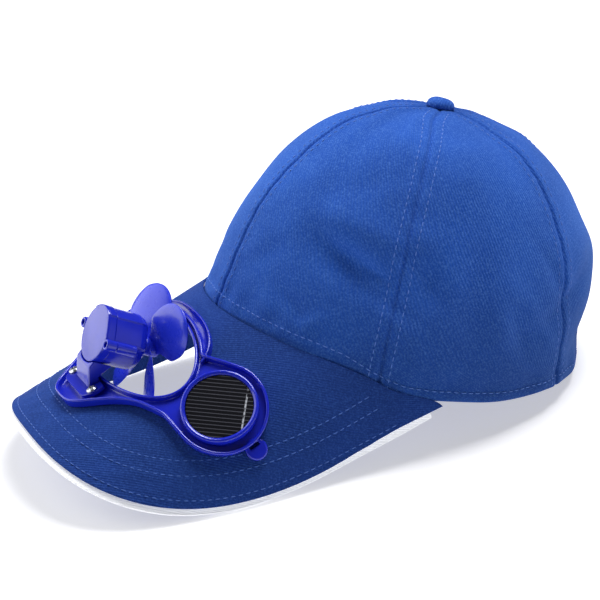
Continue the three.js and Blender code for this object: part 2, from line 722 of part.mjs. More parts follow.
function motorHousing() {
  const front = -MOTOR_CAP_LENGTH - SEAT_GAP;
  const back = front - BOSS_LENGTH;
  const bosses = [-1, 1].map((side) => tube(BOSS_RADIUS, back, front, SMALL_SEGMENTS)
    .translate([side * BOSS_SPREAD, 0, 0]));
  const holes = [-1, 1].map((side) => tube(BOSS_HOLE_RADIUS, back + BOSS_RADIUS, front + 1, SMALL_SEGMENTS)
    .translate([side * BOSS_SPREAD, 0, 0]));
  const boreTop = -MOTOR_LENGTH + SHAFT_BITE + SEAT_GAP;
  const bore = tube(SHAFT_RADIUS + SEAT_GAP, -MOTOR_LENGTH - 1, boreTop, SMALL_SEGMENTS);
  return toGeometry(join([tube(MOTOR_RADIUS, -MOTOR_LENGTH, front, MOTOR_SEGMENTS), ...bosses])
    .subtract(join([...holes, bore])));
}

function motorShaft() {
  const low = -MOTOR_LENGTH - HUB_SETBACK - HUB_LENGTH + SHAFT_BITE / 2;
  return toGeometry(tube(SHAFT_RADIUS, low, -MOTOR_LENGTH + SHAFT_BITE, SMALL_SEGMENTS));
}

// A round petal, pitched across its width and thin from face to face
function blade(index) {
  const angle = BLADE_PHASE + (index / BLADE_COUNT) * Math.PI * 2;
  const centre = -MOTOR_LENGTH - HUB_SETBACK - HUB_LENGTH / 2;
  const radial = new THREE.Vector3(-Math.sin(angle), Math.cos(angle), 0);
  const across = new THREE.Vector3(Math.cos(angle), Math.sin(angle), 0);
  const tip = 1 - BLADE_WIDEST_SHARE + BLADE_THICKNESS / BLADE_TIP_RADIUS / 8;
  const neck = BLADE_WIDEST_SHARE / Math.sqrt(1 - BLADE_NECK_SHARE ** 2);
  const place = (u, v, side) => {
    const out = lerp(BLADE_ROOT_RADIUS, BLADE_TIP_RADIUS, u);
    const away = (u - BLADE_WIDEST_SHARE) / (u < BLADE_WIDEST_SHARE ? neck : tip);
    const chord = (BLADE_WIDTH / 2) * Math.sqrt(1 - away * away) * (v * 2 - 1);
    const pitch = BLADE_PITCH * lerp(BLADE_ROOT_TWIST, BLADE_TIP_TWIST, u);
    const lift = chord * Math.sin(pitch) + side * BLADE_THICKNESS / 2;
    return radial.clone().multiplyScalar(out)
      .addScaledVector(across, chord * Math.cos(pitch))
      .add(new THREE.Vector3(0, 0, centre + lift));
  };
  return toSolid(wall(
    BLADE_STEPS_OUT, BLADE_STEPS_ACROSS,
    (u, v) => place(u, v, 1), (u, v) => place(u, v, -1),
  ));
}

function fanRotor() {
  const front = -MOTOR_LENGTH - HUB_SETBACK;
  const hub = tube(HUB_RADIUS, front - HUB_LENGTH, front, 2 * SMALL_SEGMENTS);
  const blades = Array.from({ length: BLADE_COUNT }, (_, i) => blade(i));
  const boreEnd = front - HUB_LENGTH + SHAFT_BITE / 2 - SEAT_GAP;
  const bore = tube(SHAFT_RADIUS + SEAT_GAP, boreEnd, front + 1, SMALL_SEGMENTS);
  return toGeometry(join([hub, ...blades]).subtract(bore));
}

// Bracket: a foot screwed in the tray's nose and a post with a saddle under the motor

const FOOT_LOW = TRAY_SEAT_GAP + TRAY_FLOOR + SEAT_GAP;
const FOOT_TOP = FOOT_LOW + FOOT_THICKNESS;
const FOOT_BACK = HOLE_REACH + HOLE_HALF_LENGTH + COLLAR_WALL + 2 * SEAT_GAP;
const FOOT_LENGTH = TRAY_NOSE_REACH - FOOT_NOSE_GAP - FOOT_BACK;

function motorFrame() {
  const frame = new THREE.Group();
  frame.position.set(0, MOTOR_REACH, MOTOR_RISE);
  frame.rotation.x = MOTOR_TILT - Math.PI / 2;
  return frame;
}

function motorBracket() {
  const chamfer = FOOT_THICKNESS;
  const front = FOOT_BACK + FOOT_LENGTH;
  const foot = new THREE.Shape([
    [-FOOT_BACK_HALF + chamfer, FOOT_BACK], [FOOT_BACK_HALF - chamfer, FOOT_BACK],
    [FOOT_BACK_HALF, FOOT_BACK + chamfer], [FOOT_BACK_HALF, FOOT_BACK + FOOT_LENGTH / 2],
    [FOOT_FRONT_HALF, front], [-FOOT_FRONT_HALF, front],
    [-FOOT_BACK_HALF, FOOT_BACK + FOOT_LENGTH / 2], [-FOOT_BACK_HALF, FOOT_BACK + chamfer],
  ].map(([x, y]) => new THREE.Vector2(x, y)));
  const low = FOOT_TOP - FOOT_THICKNESS / 2;
  const above = COLLAR_HEIGHT + 2 * SEAT_GAP;
  const side = new THREE.Shape([
    [FOOT_BACK, low], [FOOT_BACK + POST_LENGTH, low],
    ...SADDLE.map((row) => [MOTOR_REACH + MOTOR_RADIUS * row.along, MOTOR_RISE - MOTOR_RADIUS * row.under]),
    [MOTOR_REACH, above + FOOT_THICKNESS], [FOOT_BACK, above],
  ].map(([y, z]) => new THREE.Vector2(y, z)));
  const post = new THREE.ExtrudeGeometry(side, { depth: 2 * POST_HALF_WIDTH, bevelEnabled: false });
  post.translate(0, 0, -POST_HALF_WIDTH).applyMatrix4(new THREE.Matrix4().makeBasis(
    new THREE.Vector3(0, 1, 0), new THREE.Vector3(0, 0, 1), new THREE.Vector3(1, 0, 0),
  ));
  const seatRadius = MOTOR_RADIUS + MOTOR_CAP_LIP + SEAT_GAP;
  const seat = new THREE.CylinderGeometry(seatRadius, seatRadius, MOTOR_LENGTH * 3, MOTOR_SEGMENTS)
    .rotateX(Math.PI / 2);
  const frame = motorFrame();
  frame.updateMatrix();
  seat.applyMatrix4(frame.matrix);
  return toGeometry(join([slab(foot, FOOT_LOW, FOOT_TOP), toSolid(post)]).subtract(toSolid(seat)));
}

function screwHead() {
  const points = [[0, 0], [SCREW_HEAD_RADIUS, 0], [SCREW_HEAD_RADIUS, SCREW_HEAD_HEIGHT * SCREW_EDGE_SHARE]];
  for (let i = 1; i <= SCREW_STEPS; i += 1) {
    const angle = (i / SCREW_STEPS) * Math.PI / 2;
    points.push([
      i === SCREW_STEPS ? 0 : SCREW_HEAD_RADIUS * Math.cos(angle),
      SCREW_HEAD_HEIGHT * lerp(SCREW_EDGE_SHARE, 1, Math.sin(angle)),
    ]);
  }
  const profile = points.map(([r, z]) => new THREE.Vector2(r, z));
  return closed(new THREE.LatheGeometry(profile, SMALL_SEGMENTS).rotateX(Math.PI / 2));
}

// Assembly

function piece(name, geometry, material) {
  const mesh = new THREE.Mesh(geometry, material);
  mesh.name = name;
  return mesh;
}

// A frame on the brim: x to the wearer's right, y forward along it, z out of its cloth
function brimFrame(across, along, height) {
  const { turn } = archAt(across);
  const out = new THREE.Vector3(
    Math.sin(turn),
    -Math.cos(turn) * Math.sin(BRIM_SLOPE),
    Math.cos(turn) * Math.cos(BRIM_SLOPE),
  );
  const forward = new THREE.Vector3(0, -Math.cos(BRIM_SLOPE), -Math.sin(BRIM_SLOPE));
  const right = forward.clone().cross(out);
  const frame = new THREE.Group();
  frame.setRotationFromMatrix(new THREE.Matrix4().makeBasis(right, forward, out));
  frame.position.copy(brimPoint(across, along, height));
  return frame;
}

function crown() {
  const group = new THREE.Group();
  const opening = backOpening();
  for (const panel of PANELS) group.add(piece(panel.name, crownPanel(panel, opening), BLUE_CLOTH));
  group.add(piece('top_button', topButton(), BLUE_CLOTH));
  group.add(piece('back_strap', backStrap(), BLUE_CLOTH));
  return group;
}

function brim() {
  const group = new THREE.Group();
  const cutter = brimCutter();
  const middle = -BRIM_TOP_THICKNESS - SEAT_GAP;
  const under = middle - BRIM_MIDDLE_THICKNESS - SEAT_GAP;
  group.add(
    piece('brim_top', brimLayer(0, BRIM_TOP_THICKNESS, BRIM_TOP_INSET, cutter), BLUE_CLOTH),
    piece('brim_sandwich', brimLayer(middle, BRIM_MIDDLE_THICKNESS, 0, cutter), WHITE_CLOTH),
    piece('brim_under', brimLayer(under, BRIM_UNDER_THICKNESS, BRIM_UNDER_INSET, cutter), BLUE_CLOTH),
  );
  return group;
}

function fanUnit() {
  const group = new THREE.Group();
  group.add(piece('fan_tray', fanTray(), BLUE_PLASTIC));
  for (const [side, word] of [[1, 'left'], [-1, 'right']]) {
    const lobe = brimFrame(side * LOBE_SPREAD, LOBE_REACH, FOOT_LOW);
    lobe.add(piece(`bezel_${word}`, bezel(), BLUE_PLASTIC));
    lobe.add(piece(`solar_cell_${word}`, solarCell(), CELL_BLACK));
    group.add(lobe);
  }
  const middle = brimFrame(0, 0, 0);
  middle.add(piece('motor_bracket', motorBracket(), BLUE_PLASTIC));
  for (const [side, word] of [[-1, 'left'], [1, 'right']]) {
    const screw = piece(`bracket_screw_${word}`, screwHead(), STEEL);
    screw.position.set(side * SCREW_SPREAD, FOOT_BACK + FOOT_LENGTH / 2, FOOT_TOP + SEAT_GAP);
    middle.add(screw);
  }
  const motor = motorFrame();
  motor.add(
    piece('motor_cap', motorCap(), BLUE_PLASTIC),
    piece('motor_housing', motorHousing(), BLUE_PLASTIC),
    piece('motor_shaft', motorShaft(), STEEL),
    piece('fan_rotor', fanRotor(), BLUE_PLASTIC),
  );
  middle.add(motor);
  group.add(middle);
  return group;
}

// The cap leans back until its back rim and the brim's sides are on the table together
function restingLean() {
  const supports = [];
  const under = BRIM_UNDER_THICKNESS + SEAT_GAP - BRIM_THICKNESS;
  for (let i = 0; i <= LEAN_STEPS; i += 1) {
    const across = BRIM_HALF_WIDTH * BRIM_END_SHARE * Math.sin((i / LEAN_STEPS) * Math.PI / 2);
    supports.push(brimPoint(across, brimOuterEdge(across, 0), under));
  }
  const rims = [];
  for (let i = 0; i < LEAN_STEPS; i += 1) {
    const point = crownPoint(Math.PI * (1 - i / LEAN_STEPS / 2), 1);
    if (point.x > ARCH_WIDTH / 2) rims.push(point);
  }
  let [low, high] = [0, Math.PI / 4];
  const lowest = (points, lean) => Math.min(...points.map((p) => p.z * Math.cos(lean) - p.y * Math.sin(lean)));
  for (let i = 0; i < HALVINGS; i += 1) {
    const middle = (low + high) / 2;
    if (lowest(supports, middle) < lowest(rims, middle)) low = middle;
    else high = middle;
  }
  return (low + high) / 2;
}

function solarFanCap() {
  const cap = new THREE.Group();
  cap.add(crown(), brim(), fanUnit());
  cap.rotation.x = -restingLean();
  const whole = new THREE.Group();
  whole.add(cap);
  const box = new THREE.Box3().setFromObject(whole, true);
  const centre = box.getCenter(new THREE.Vector3());
  cap.position.set(-centre.x, -centre.y, -box.min.z);
  return whole;
}

export default solarFanCap();
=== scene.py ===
"""Blender scene of a six-panel sun cap with a solar fan set in its brim.

Sizes are in millimetres in the cap's own frame, where the crown stands upright: X to the wearer's left,
-Y the way the brim points, Z up, with the button's axis at the origin. Rest.seat lays the cap on the table,
as the solids lie, and every mesh is written in metres.
"""

import logging
import math
from dataclasses import dataclass
from enum import Enum
from functools import reduce

import bpy
import numpy as np
from mathutils import Matrix


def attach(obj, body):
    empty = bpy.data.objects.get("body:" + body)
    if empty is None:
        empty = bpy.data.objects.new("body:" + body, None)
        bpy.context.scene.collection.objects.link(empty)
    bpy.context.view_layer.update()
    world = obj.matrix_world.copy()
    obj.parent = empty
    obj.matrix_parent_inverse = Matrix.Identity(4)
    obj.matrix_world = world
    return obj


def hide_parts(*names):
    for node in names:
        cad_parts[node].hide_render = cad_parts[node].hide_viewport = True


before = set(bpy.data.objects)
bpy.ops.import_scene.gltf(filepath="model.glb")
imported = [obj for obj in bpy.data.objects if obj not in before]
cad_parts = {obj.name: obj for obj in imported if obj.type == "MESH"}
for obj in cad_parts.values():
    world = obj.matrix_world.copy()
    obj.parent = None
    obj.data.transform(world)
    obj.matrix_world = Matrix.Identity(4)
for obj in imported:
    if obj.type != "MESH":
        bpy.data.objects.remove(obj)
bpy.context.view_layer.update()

LOG = logging.getLogger("solar_fan_cap")
METRES = 0.001
TURN = 2.0 * math.pi
Array = np.ndarray
Material = bpy.types.Material
Socket = bpy.types.NodeSocket
Span = tuple[float, float]
Feed = Socket | float | tuple[float, ...]


class Body(Enum):
    """The bodies that a piece can ride on."""

    CAP = "cap"
    FAN = "fan"


class Side(Enum):
    """The wearer's two sides, as the sign of X."""

    LEFT = 1
    RIGHT = -1


# Numbers and curves


def smoothstep(value: Array, low: float, high: float) -> Array:
    """Rises from 0 at low to 1 at high along 3t^2 - 2t^3.

    Args:
        value: The numbers to ease.
        low: Where the rise starts.
        high: Where it ends.

    Returns:
        The eased shares.
    """
    share = np.clip((np.asarray(value, float) - low) / (high - low), 0.0, 1.0)
    return share * share * (3.0 - 2.0 * share)


def bell(value: Array, width: float) -> Array:
    """A hump exp(-(value / width)^2)."""
    return np.exp(-np.square(np.asarray(value, float) / width))


def unit(vectors: Array) -> Array:
    """Vectors divided by their lengths, along the last axis."""
    return vectors / np.maximum(np.linalg.norm(vectors, axis=-1, keepdims=True), 1e-12)


def rays(angle: Array) -> Array:
    """Unit directions at angles, as rows of cosine and sine."""
    return np.stack([np.cos(angle), np.sin(angle)], axis=1)


def through(points: Array, share: Array) -> Array:
    """A curve through points that are evenly spaced in its parameter.

    Each span is a cubic whose end slopes are half the step between the points on either side.

    Args:
        points: Rows of points.
        share: Where to read the curve, from 0 to 1.

    Returns:
        One row for each share, on the last axis.
    """
    rows = np.vstack([2 * points[0] - points[1], points, 2 * points[-1] - points[-2]])
    place = np.clip(np.asarray(share, float), 0.0, 1.0) * (len(points) - 1)
    span = np.minimum(place.astype(int), len(points) - 2)
    t = (place - span)[..., None]
    before, start, end, after = (rows[span + k] for k in range(4))
    slope_in, slope_out = (end - before) / 2.0, (after - start) / 2.0
    return (
        start * (2 * t**3 - 3 * t**2 + 1) + slope_in * (t**3 - 2 * t**2 + t)
        + end * (3 * t**2 - 2 * t**3) + slope_out * (t**3 - t**2)
    )


def along(path: Array, step: float, closed: bool = False) -> tuple[Array, Array]:
    """Points at even steps along a polyline.

    Args:
        path: Rows of points.
        step: The spacing wanted, changed a little so that it divides the length.
        closed: Whether the last point joins the first.

    Returns:
        The points, and the whole path's length.
    """
    line = np.vstack([path, path[:1]]) if closed else path
    reach = np.concatenate([[0.0], np.cumsum(np.linalg.norm(np.diff(line, axis=0), axis=1))])
    count = max(2, int(round(reach[-1] / step)))
    stops = np.linspace(0.0, reach[-1], count, endpoint=not closed)
    return np.stack([np.interp(stops, reach, axis) for axis in line.T], axis=1), reach[-1]


def grid_faces(rows: int, columns: int, wrap_rows: bool = False, wrap_columns: bool = False) -> Array:
    """Quads of a grid of vertices stored row by row.

    Args:
        rows: Number of rows.
        columns: Number of columns.
        wrap_rows: Whether the last row joins the first.
        wrap_columns: Whether the last column joins the first.

    Returns:
        Indices, four to a face.
    """
    i = np.arange(rows if wrap_rows else rows - 1)[:, None]
    j = np.arange(columns if wrap_columns else columns - 1)[None, :]
    down, over = (i + 1) % rows, (j + 1) % columns
    corners = [i * columns + j, down * columns + j, down * columns + over, i * columns + over]
    return np.stack([np.broadcast_to(c, (i.size, j.size)) for c in corners], axis=-1).reshape(-1, 4)


@dataclass
class Form:
    """A mesh being made: its points in the cap's frame, its faces, and the cloth's own coordinates."""

    points: Array
    faces: list
    flat: Array | None = None

    def add(self, other: "Form") -> "Form":
        """Both forms as one mesh.

        Args:
            other: The form to add.

        Returns:
            The joined form. It keeps the cloth's coordinates if both have them.
        """
        shift = len(self.points)
        faces = self.faces + [[index + shift for index in face] for face in other.faces]
        flat = None if self.flat is None or other.flat is None else np.vstack([self.flat, other.flat])
        return Form(np.vstack([self.points, other.points]), faces, flat)


def joined(forms: list[Form]) -> Form:
    """Several forms as one mesh, in their order."""
    return reduce(Form.add, forms)


def wall(outer: Array, inner: Array, flat: Array | None = None) -> Form:
    """A wall between two grids of points, closed round its four edges.

    Args:
        outer: Points of the outer face, rows by columns by three.
        inner: The same for the inner face.
        flat: The cloth's own coordinates of the grid, or None.

    Returns:
        The closed wall.
    """
    rows, columns = outer.shape[:2]
    size = rows * columns
    face = grid_faces(rows, columns)
    ring = np.concatenate([
        np.arange(columns), np.arange(2, rows + 1)[:-1] * columns - 1,
        np.arange(size - 1, size - columns - 1, -1), np.arange(rows - 2, 0, -1) * columns,
    ])
    following = np.roll(ring, -1)
    edge = np.stack([ring, following, following + size, ring + size], axis=1)
    faces = np.vstack([face, face[:, ::-1] + size, edge])
    points = np.vstack([outer.reshape(-1, 3), inner.reshape(-1, 3)])
    both = None if flat is None else np.vstack([flat.reshape(-1, 2)] * 2)
    return Form(points, faces.tolist(), both)


def loops(sections: Array, wrap: bool, flat: Array | None = None) -> Form:
    """A skin over closed sections, one after another.

    Args:
        sections: Sections by points by three. Each section is a closed loop.
        wrap: Whether the last section joins the first. If not, each end is closed by one face.
        flat: The cloth's own coordinates of each point, or None.

    Returns:
        The closed skin.
    """
    rows, columns = sections.shape[:2]
    faces = grid_faces(rows, columns, wrap, True).tolist()
    if not wrap:
        faces += [list(range(columns))[::-1], list(range((rows - 1) * columns, rows * columns))]
    coordinates = None if flat is None else flat.reshape(-1, 2)
    return Form(sections.reshape(-1, 3), faces, coordinates)


def turned(profile: Array, segments: int, swell: Array | None = None) -> Form:
    """A profile of radius and height turned about Z. A first or last radius of 0 is one pole point.

    Args:
        profile: Rows of radius and height. A profile with no pole is a closed loop.
        segments: Steps round the axis.
        swell: Share by which each step's radius differs, or None.

    Returns:
        The closed body.
    """
    angle = np.arange(segments) * TURN / segments
    grow = np.ones(segments) if swell is None else swell
    poles = profile[0, 0] == 0.0
    body = profile[1:-1] if poles else profile
    ring = np.stack([
        body[:, None, 0] * np.cos(angle) * grow, body[:, None, 0] * np.sin(angle) * grow,
        np.broadcast_to(body[:, None, 1], (len(body), segments)),
    ], axis=-1)
    faces = grid_faces(len(body), segments, not poles, True).tolist()
    points = ring.reshape(-1, 3)
    if poles:
        first, last, end = len(points), len(points) + 1, (len(body) - 1) * segments
        points = np.vstack([points, [[0, 0, profile[0, 1]], [0, 0, profile[-1, 1]]]])
        faces += [[first, j, (j + 1) % segments] for j in range(segments)]
        faces += [[last, end + (j + 1) % segments, end + j] for j in range(segments)]
    return Form(points, faces)


def rounded(corners: list, radius: float, steps: int = 4) -> Array:
    """A closed outline whose corners are cut by arcs.

    Each corner is replaced by a curve from one side to the other, (1-t)^2 A + 2t(1-t) B + t^2 C.

    Args:
        corners: Corner points.
        radius: How far along each side the cut starts.
        steps: Spans to a corner.

    Returns:
        Rows of points.
    """
    points = np.asarray(corners, float)
    back, forward = np.roll(points, 1, axis=0) - points, np.roll(points, -1, axis=0) - points
    shorter = np.minimum(np.linalg.norm(back, axis=1), np.linalg.norm(forward, axis=1))
    reach = np.minimum(radius, 0.45 * shorter)[:, None]
    start, end = points + unit(back) * reach, points + unit(forward) * reach
    t = np.linspace(0.0, 1.0, steps + 1)[None, :, None]
    curve = start[:, None] * (1 - t) ** 2 + 2 * t * (1 - t) * points[:, None] + end[:, None] * t**2
    return curve.reshape(-1, points.shape[1])


@dataclass(frozen=True)
class Rest:
    """How the cap lies on the table: it leans back about X, then moves to its place."""

    lean: float = math.radians(17.365)
    across: float = 0.0313
    back: float = 47.9695
    up: float = 33.8348

    def turn(self, vectors: Array) -> Array:
        """Directions of the cap's frame in the table's frame.

        Args:
            vectors: Directions in the cap's frame.

        Returns:
            The same directions in the table's frame.
        """
        c, s = math.cos(self.lean), math.sin(self.lean)
        x, y, z = np.moveaxis(np.asarray(vectors, float), -1, 0)
        return np.stack([x, y * c + z * s, z * c - y * s], axis=-1)

    def seat(self, points: Array) -> Array:
        """Points of the cap's frame in the table's frame."""
        return self.turn(points) + np.array([self.across, self.back, self.up])


REST = Rest()


def make_piece(
    name: str, form: Form, finish: Material, body: Body = Body.CAP,
    nodes: tuple[str, ...] = (), sharp: float = 50.0,
) -> bpy.types.Object:
    """Puts a form into the scene and ties it to the frame.

    Args:
        name: The piece's name.
        form: Its mesh, in the cap's frame and millimetres.
        finish: Its material.
        body: The body that it rides on.
        nodes: The solids that it stands for.
        sharp: The angle between faces, in degrees, past which an edge stays crisp.

    Returns:
        The new object.
    """
    mesh = bpy.data.meshes.new(name)
    mesh.from_pydata((REST.seat(form.points) * METRES).tolist(), [], form.faces)
    mesh.update()
    if form.flat is not None:
        corners = np.empty(len(mesh.loops), np.int32)
        mesh.loops.foreach_get("vertex_index", corners)
        mesh.uv_layers.new(name="cloth").data.foreach_set("uv", (form.flat[corners] * METRES).ravel())
    mesh.materials.append(finish)
    mesh.shade_smooth()
    mesh.set_sharp_from_angle(angle=math.radians(sharp))
    piece = bpy.data.objects.new(name, mesh)
    bpy.context.scene.collection.objects.link(piece)
    piece.modifiers.new("even shading", "WEIGHTED_NORMAL").keep_sharp = True
    outward(mesh)
    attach(piece, body.value)
    if nodes:
        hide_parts(*nodes)
    LOG.info("%s: %d faces on %s", name, len(mesh.polygons), body.value)
    return piece


def outward(mesh: bpy.types.Mesh) -> None:
    """Turns the mesh inside out if the volume that its faces close is negative.

    Args:
        mesh: The closed mesh.
    """
    mesh.calc_loop_triangles()
    corner = np.empty(len(mesh.vertices) * 3)
    mesh.vertices.foreach_get("co", corner)
    index = np.empty(len(mesh.loop_triangles) * 3, np.int32)
    mesh.loop_triangles.foreach_get("vertices", index)
    a, b, c = np.moveaxis(corner.reshape(-1, 3)[index.reshape(-1, 3)], 1, 0)
    if np.einsum("ij,ij->", a, np.cross(b, c)) < 0.0:
        mesh.flip_normals()


# Finishes


def linear(code: str) -> tuple[float, float, float, float]:
    """An sRGB hex colour as linear red, green, blue and 1.

    Args:
        code: Six hex digits after a hash.

    Returns:
        The linear colour.
    """
    value = np.array([int(code[k:k + 2], 16) for k in (1, 3, 5)]) / 255.0
    light = np.where(value <= 0.04045, value / 12.92, ((value + 0.055) / 1.055) ** 2.4)
    return (*light.tolist(), 1.0)


def add_node(tree: bpy.types.NodeTree, kind: str, inputs: dict | None = None,
             **settings: object) -> bpy.types.Node:
    """Adds a node with its settings, values and links.

    Args:
        tree: The material's or world's node tree.
        kind: The node's type.
        inputs: For each input's name or number, a value, or the socket that feeds it.
        **settings: The node's own properties.

    Returns:
        The new node.
    """
    new = tree.nodes.new(kind)
    for key, value in settings.items():
        setattr(new, key, value)
    for key, value in (inputs or {}).items():
        if isinstance(value, Socket):
            tree.links.new(value, new.inputs[key])
        else:
            new.inputs[key].default_value = value
    return new


@dataclass
class Surface:
    """A material being made: its node tree and its one Principled shader."""

    material: Material
    tree: bpy.types.NodeTree
    shader: bpy.types.Node

    @classmethod
    def begin(cls, name: str, settings: dict) -> "Surface":
        """Starts a material.

        Args:
            name: The material's name.
            settings: Values for the shader's sockets.

        Returns:
            The surface, its shader joined to the output.
        """
        material = bpy.data.materials.new(name)
        material.use_nodes = True
        material.diffuse_color = (0.5, 0.5, 0.5, 1.0)
        tree = material.node_tree
        tree.nodes.clear()
        shader = add_node(tree, "ShaderNodeBsdfPrincipled", settings)
        add_node(tree, "ShaderNodeOutputMaterial", {"Surface": shader.outputs["BSDF"]})
        return cls(material, tree, shader)

    def place(self, kind: str) -> Socket:
        """The coordinates of a kind."""
        return add_node(self.tree, "ShaderNodeTexCoord").outputs[kind]

    def feed(self, name: str, socket: Socket) -> None:
        """Joins a socket to the shader's own."""
        self.tree.links.new(socket, self.shader.inputs[name])

    def blend(self, share: Feed, low: Feed, high: Feed, kind: str = "MIX") -> Socket:
        """Two colours mixed, by the share that the second one has."""
        inputs = {"Factor": share, 6: low, 7: high}
        return add_node(self.tree, "ShaderNodeMix", inputs, data_type="RGBA", blend_type=kind).outputs[2]

    def noise(self, place: Socket, gap: float, detail: float, rough: float = 0.5) -> Socket:
        """Cloudy noise whose clouds are gap millimetres wide, with finer layers in them."""
        inputs = {"Vector": place, "Scale": 1.0 / (gap * METRES), "Detail": detail, "Roughness": rough}
        return add_node(self.tree, "ShaderNodeTexNoise", inputs).outputs["Fac"]

    def ranged(self, value: Socket, source: Span, target: Span, ease: str = "LINEAR") -> Socket:
        """A value carried from one range to another and held at its ends."""
        inputs = dict(zip(("Value", "From Min", "From Max", "To Min", "To Max"), (value, *source, *target)))
        return add_node(self.tree, "ShaderNodeMapRange", inputs, interpolation_type=ease).outputs["Result"]

    def maths(self, kind: str, first: Feed, second: Feed = 0.0) -> Socket:
        """One step of arithmetic, named by its kind."""
        return add_node(self.tree, "ShaderNodeMath", {0: first, 1: second}, operation=kind).outputs["Value"]

    def relief(self, height: Socket, depth: float, strength: float) -> None:
        """Gives the shader a fine relief whose full depth is in millimetres."""
        inputs = {"Height": height, "Distance": depth * METRES, "Strength": strength}
        self.feed("Normal", add_node(self.tree, "ShaderNodeBump", inputs).outputs["Normal"])


@dataclass(frozen=True)
class BrushedTwill:
    """Cotton twill, woven and brushed: matte, with a short nap that catches light at a glancing angle.

    The twill's lines are 0.5 mm apart on the real cloth, too fine to show, so they are drawn at thread_gap.
    White cloth is given a painted glow, an emission that keeps it white in its own shade. The crown's
    colour is painted paler at the top and deeper near the rim, as painted light and shade by height.
    """

    name: str
    shade: str
    base: str
    light: str
    thread_gap: float = 1.15
    fibre: float = 0.9
    patch: float = 34.0
    weave_height: float = 0.12
    nap: float = 0.24
    # Emission that paints a glow on the cloth, to keep white cloth white in its own shade.
    painted_glow: float = 0.0
    # Painted shade and light by height: the colour's share at the rim and at the top.
    painted_rim_shade: float = 1.0
    painted_top_light: float = 1.0
    painted_shade_heights: Span = (0.012, 0.09)

    def build(self) -> Material:
        """The cloth as a material, its weave on the cloth's own coordinates.

        Returns:
            The material.
        """
        surface = Surface.begin(self.name, {
            "Roughness": 0.93, "Specular IOR Level": 0.22, "Sheen Weight": self.nap,
            "Sheen Roughness": 0.55, "Sheen Tint": linear(self.light), "Emission Color": linear("#f4f7ff"),
            "Emission Strength": self.painted_glow,
        })
        place, cloth = surface.place("Object"), surface.place("UV")
        patches = surface.noise(place, self.patch, 3.0)
        fibres = surface.noise(place, self.fibre, 4.0, 0.65)
        twill = add_node(surface.tree, "ShaderNodeTexWave", {
            "Vector": cloth, "Scale": TURN / 10.0 / (self.thread_gap * math.sqrt(2.0) * METRES),
            "Distortion": 1.6, "Detail": 2.0, "Detail Scale": 2.0,
        }, wave_type="BANDS", bands_direction="DIAGONAL").outputs["Fac"]
        faded = surface.blend(patches, linear(self.shade), linear(self.base))
        napped = surface.blend(surface.ranged(fibres, (0.46, 0.76), (0.0, 0.42)), faded, linear(self.light))
        woven = surface.blend(1.0, napped, surface.ranged(twill, (0.0, 1.0), (0.9, 1.04)), "MULTIPLY")
        # Painted light and shade: the colour is darker towards the rim and paler towards the top, by height.
        height = add_node(surface.tree, "ShaderNodeSeparateXYZ", {"Vector": place}).outputs["Z"]
        painted_light_and_shade = surface.ranged(height, self.painted_shade_heights, (self.painted_rim_shade, self.painted_top_light), "SMOOTHSTEP")
        surface.feed("Base Color", surface.blend(1.0, woven, painted_light_and_shade, "MULTIPLY"))
        surface.relief(surface.maths("ADD", twill, fibres), self.weave_height, 0.9)
        return surface.material


@dataclass(frozen=True)
class GlossPlastic:
    """Injection-moulded ABS: a bright skin with a faint ripple from the mould and fine handling marks."""

    name: str
    base: str
    deep: str
    roughness: float = 0.2
    ripple: float = 9.0
    ripple_height: float = 0.015
    mark: float = 2.4

    def build(self) -> Material:
        """The plastic as a material on Object coordinates.

        Returns:
            The material.
        """
        surface = Surface.begin(self.name, {
            "IOR": 1.52, "Specular IOR Level": 0.5, "Coat Weight": 0.25, "Coat Roughness": 0.1,
        })
        place = surface.place("Object")
        cloud = surface.noise(place, self.ripple, 2.0)
        marks = surface.noise(place, self.mark, 2.0)
        gloss = surface.ranged(marks, (0.3, 0.75), (self.roughness, self.roughness + 0.06))
        surface.feed("Base Color", surface.blend(cloud, linear(self.deep), linear(self.base)))
        surface.feed("Roughness", gloss)
        surface.relief(cloud, self.ripple_height, 0.5)
        return surface.material


@dataclass(frozen=True)
class SolarSilicon:
    """A silicon cell under clear epoxy: near black, with printed silver fingers and one wider bar."""

    name: str
    base: str = "#08080b"
    # A painted sheen, laid on the black in patches.
    sheen: str = "#15161f"
    finger: str = "#3c3e48"
    bar: str = "#b9bdc6"
    finger_gap: float = 1.85
    finger_width: float = 0.42
    bar_reach: float = 11.6
    bar_width: float = 0.75
    wear_and_sheen_gap: float = 2.2

    def build(self) -> Material:
        """The cell as a material on its own flat coordinates: U along the fingers, V across them.

        Returns:
            The material.
        """
        surface = Surface.begin(self.name, {
            "IOR": 1.5, "Specular IOR Level": 0.4, "Coat Weight": 0.25, "Coat Roughness": 0.1,
        })
        place = surface.place("UV")
        axes = add_node(surface.tree, "ShaderNodeSeparateXYZ", {"Vector": place}).outputs
        wave = surface.maths("PINGPONG", axes["Y"], self.finger_gap * METRES / 2.0)
        finger = self.finger_width * METRES
        line = surface.ranged(wave, (finger * 0.25, finger * 0.6), (1.0, 0.0))
        near = surface.maths("ABSOLUTE", surface.maths("SUBTRACT", axes["X"], self.bar_reach * METRES))
        bar = self.bar_width * METRES
        edge = surface.ranged(near, (bar * 0.35, bar * 0.65), (1.0, 0.0))
        # One noise wears the bar's print and also lays patches of painted sheen on the black.
        wear_and_sheen = surface.noise(place, self.wear_and_sheen_gap, 3.0)
        strip = surface.maths("MULTIPLY", edge, surface.ranged(wear_and_sheen, (0.42, 0.58), (0.0, 1.0)))
        dark = surface.blend(wear_and_sheen, linear(self.base), linear(self.sheen))
        printed = surface.blend(line, dark, linear(self.finger))
        surface.feed("Base Color", surface.blend(strip, printed, linear(self.bar)))
        surface.feed("Roughness", surface.ranged(line, (0.0, 1.0), (0.2, 0.45)))
        return surface.material


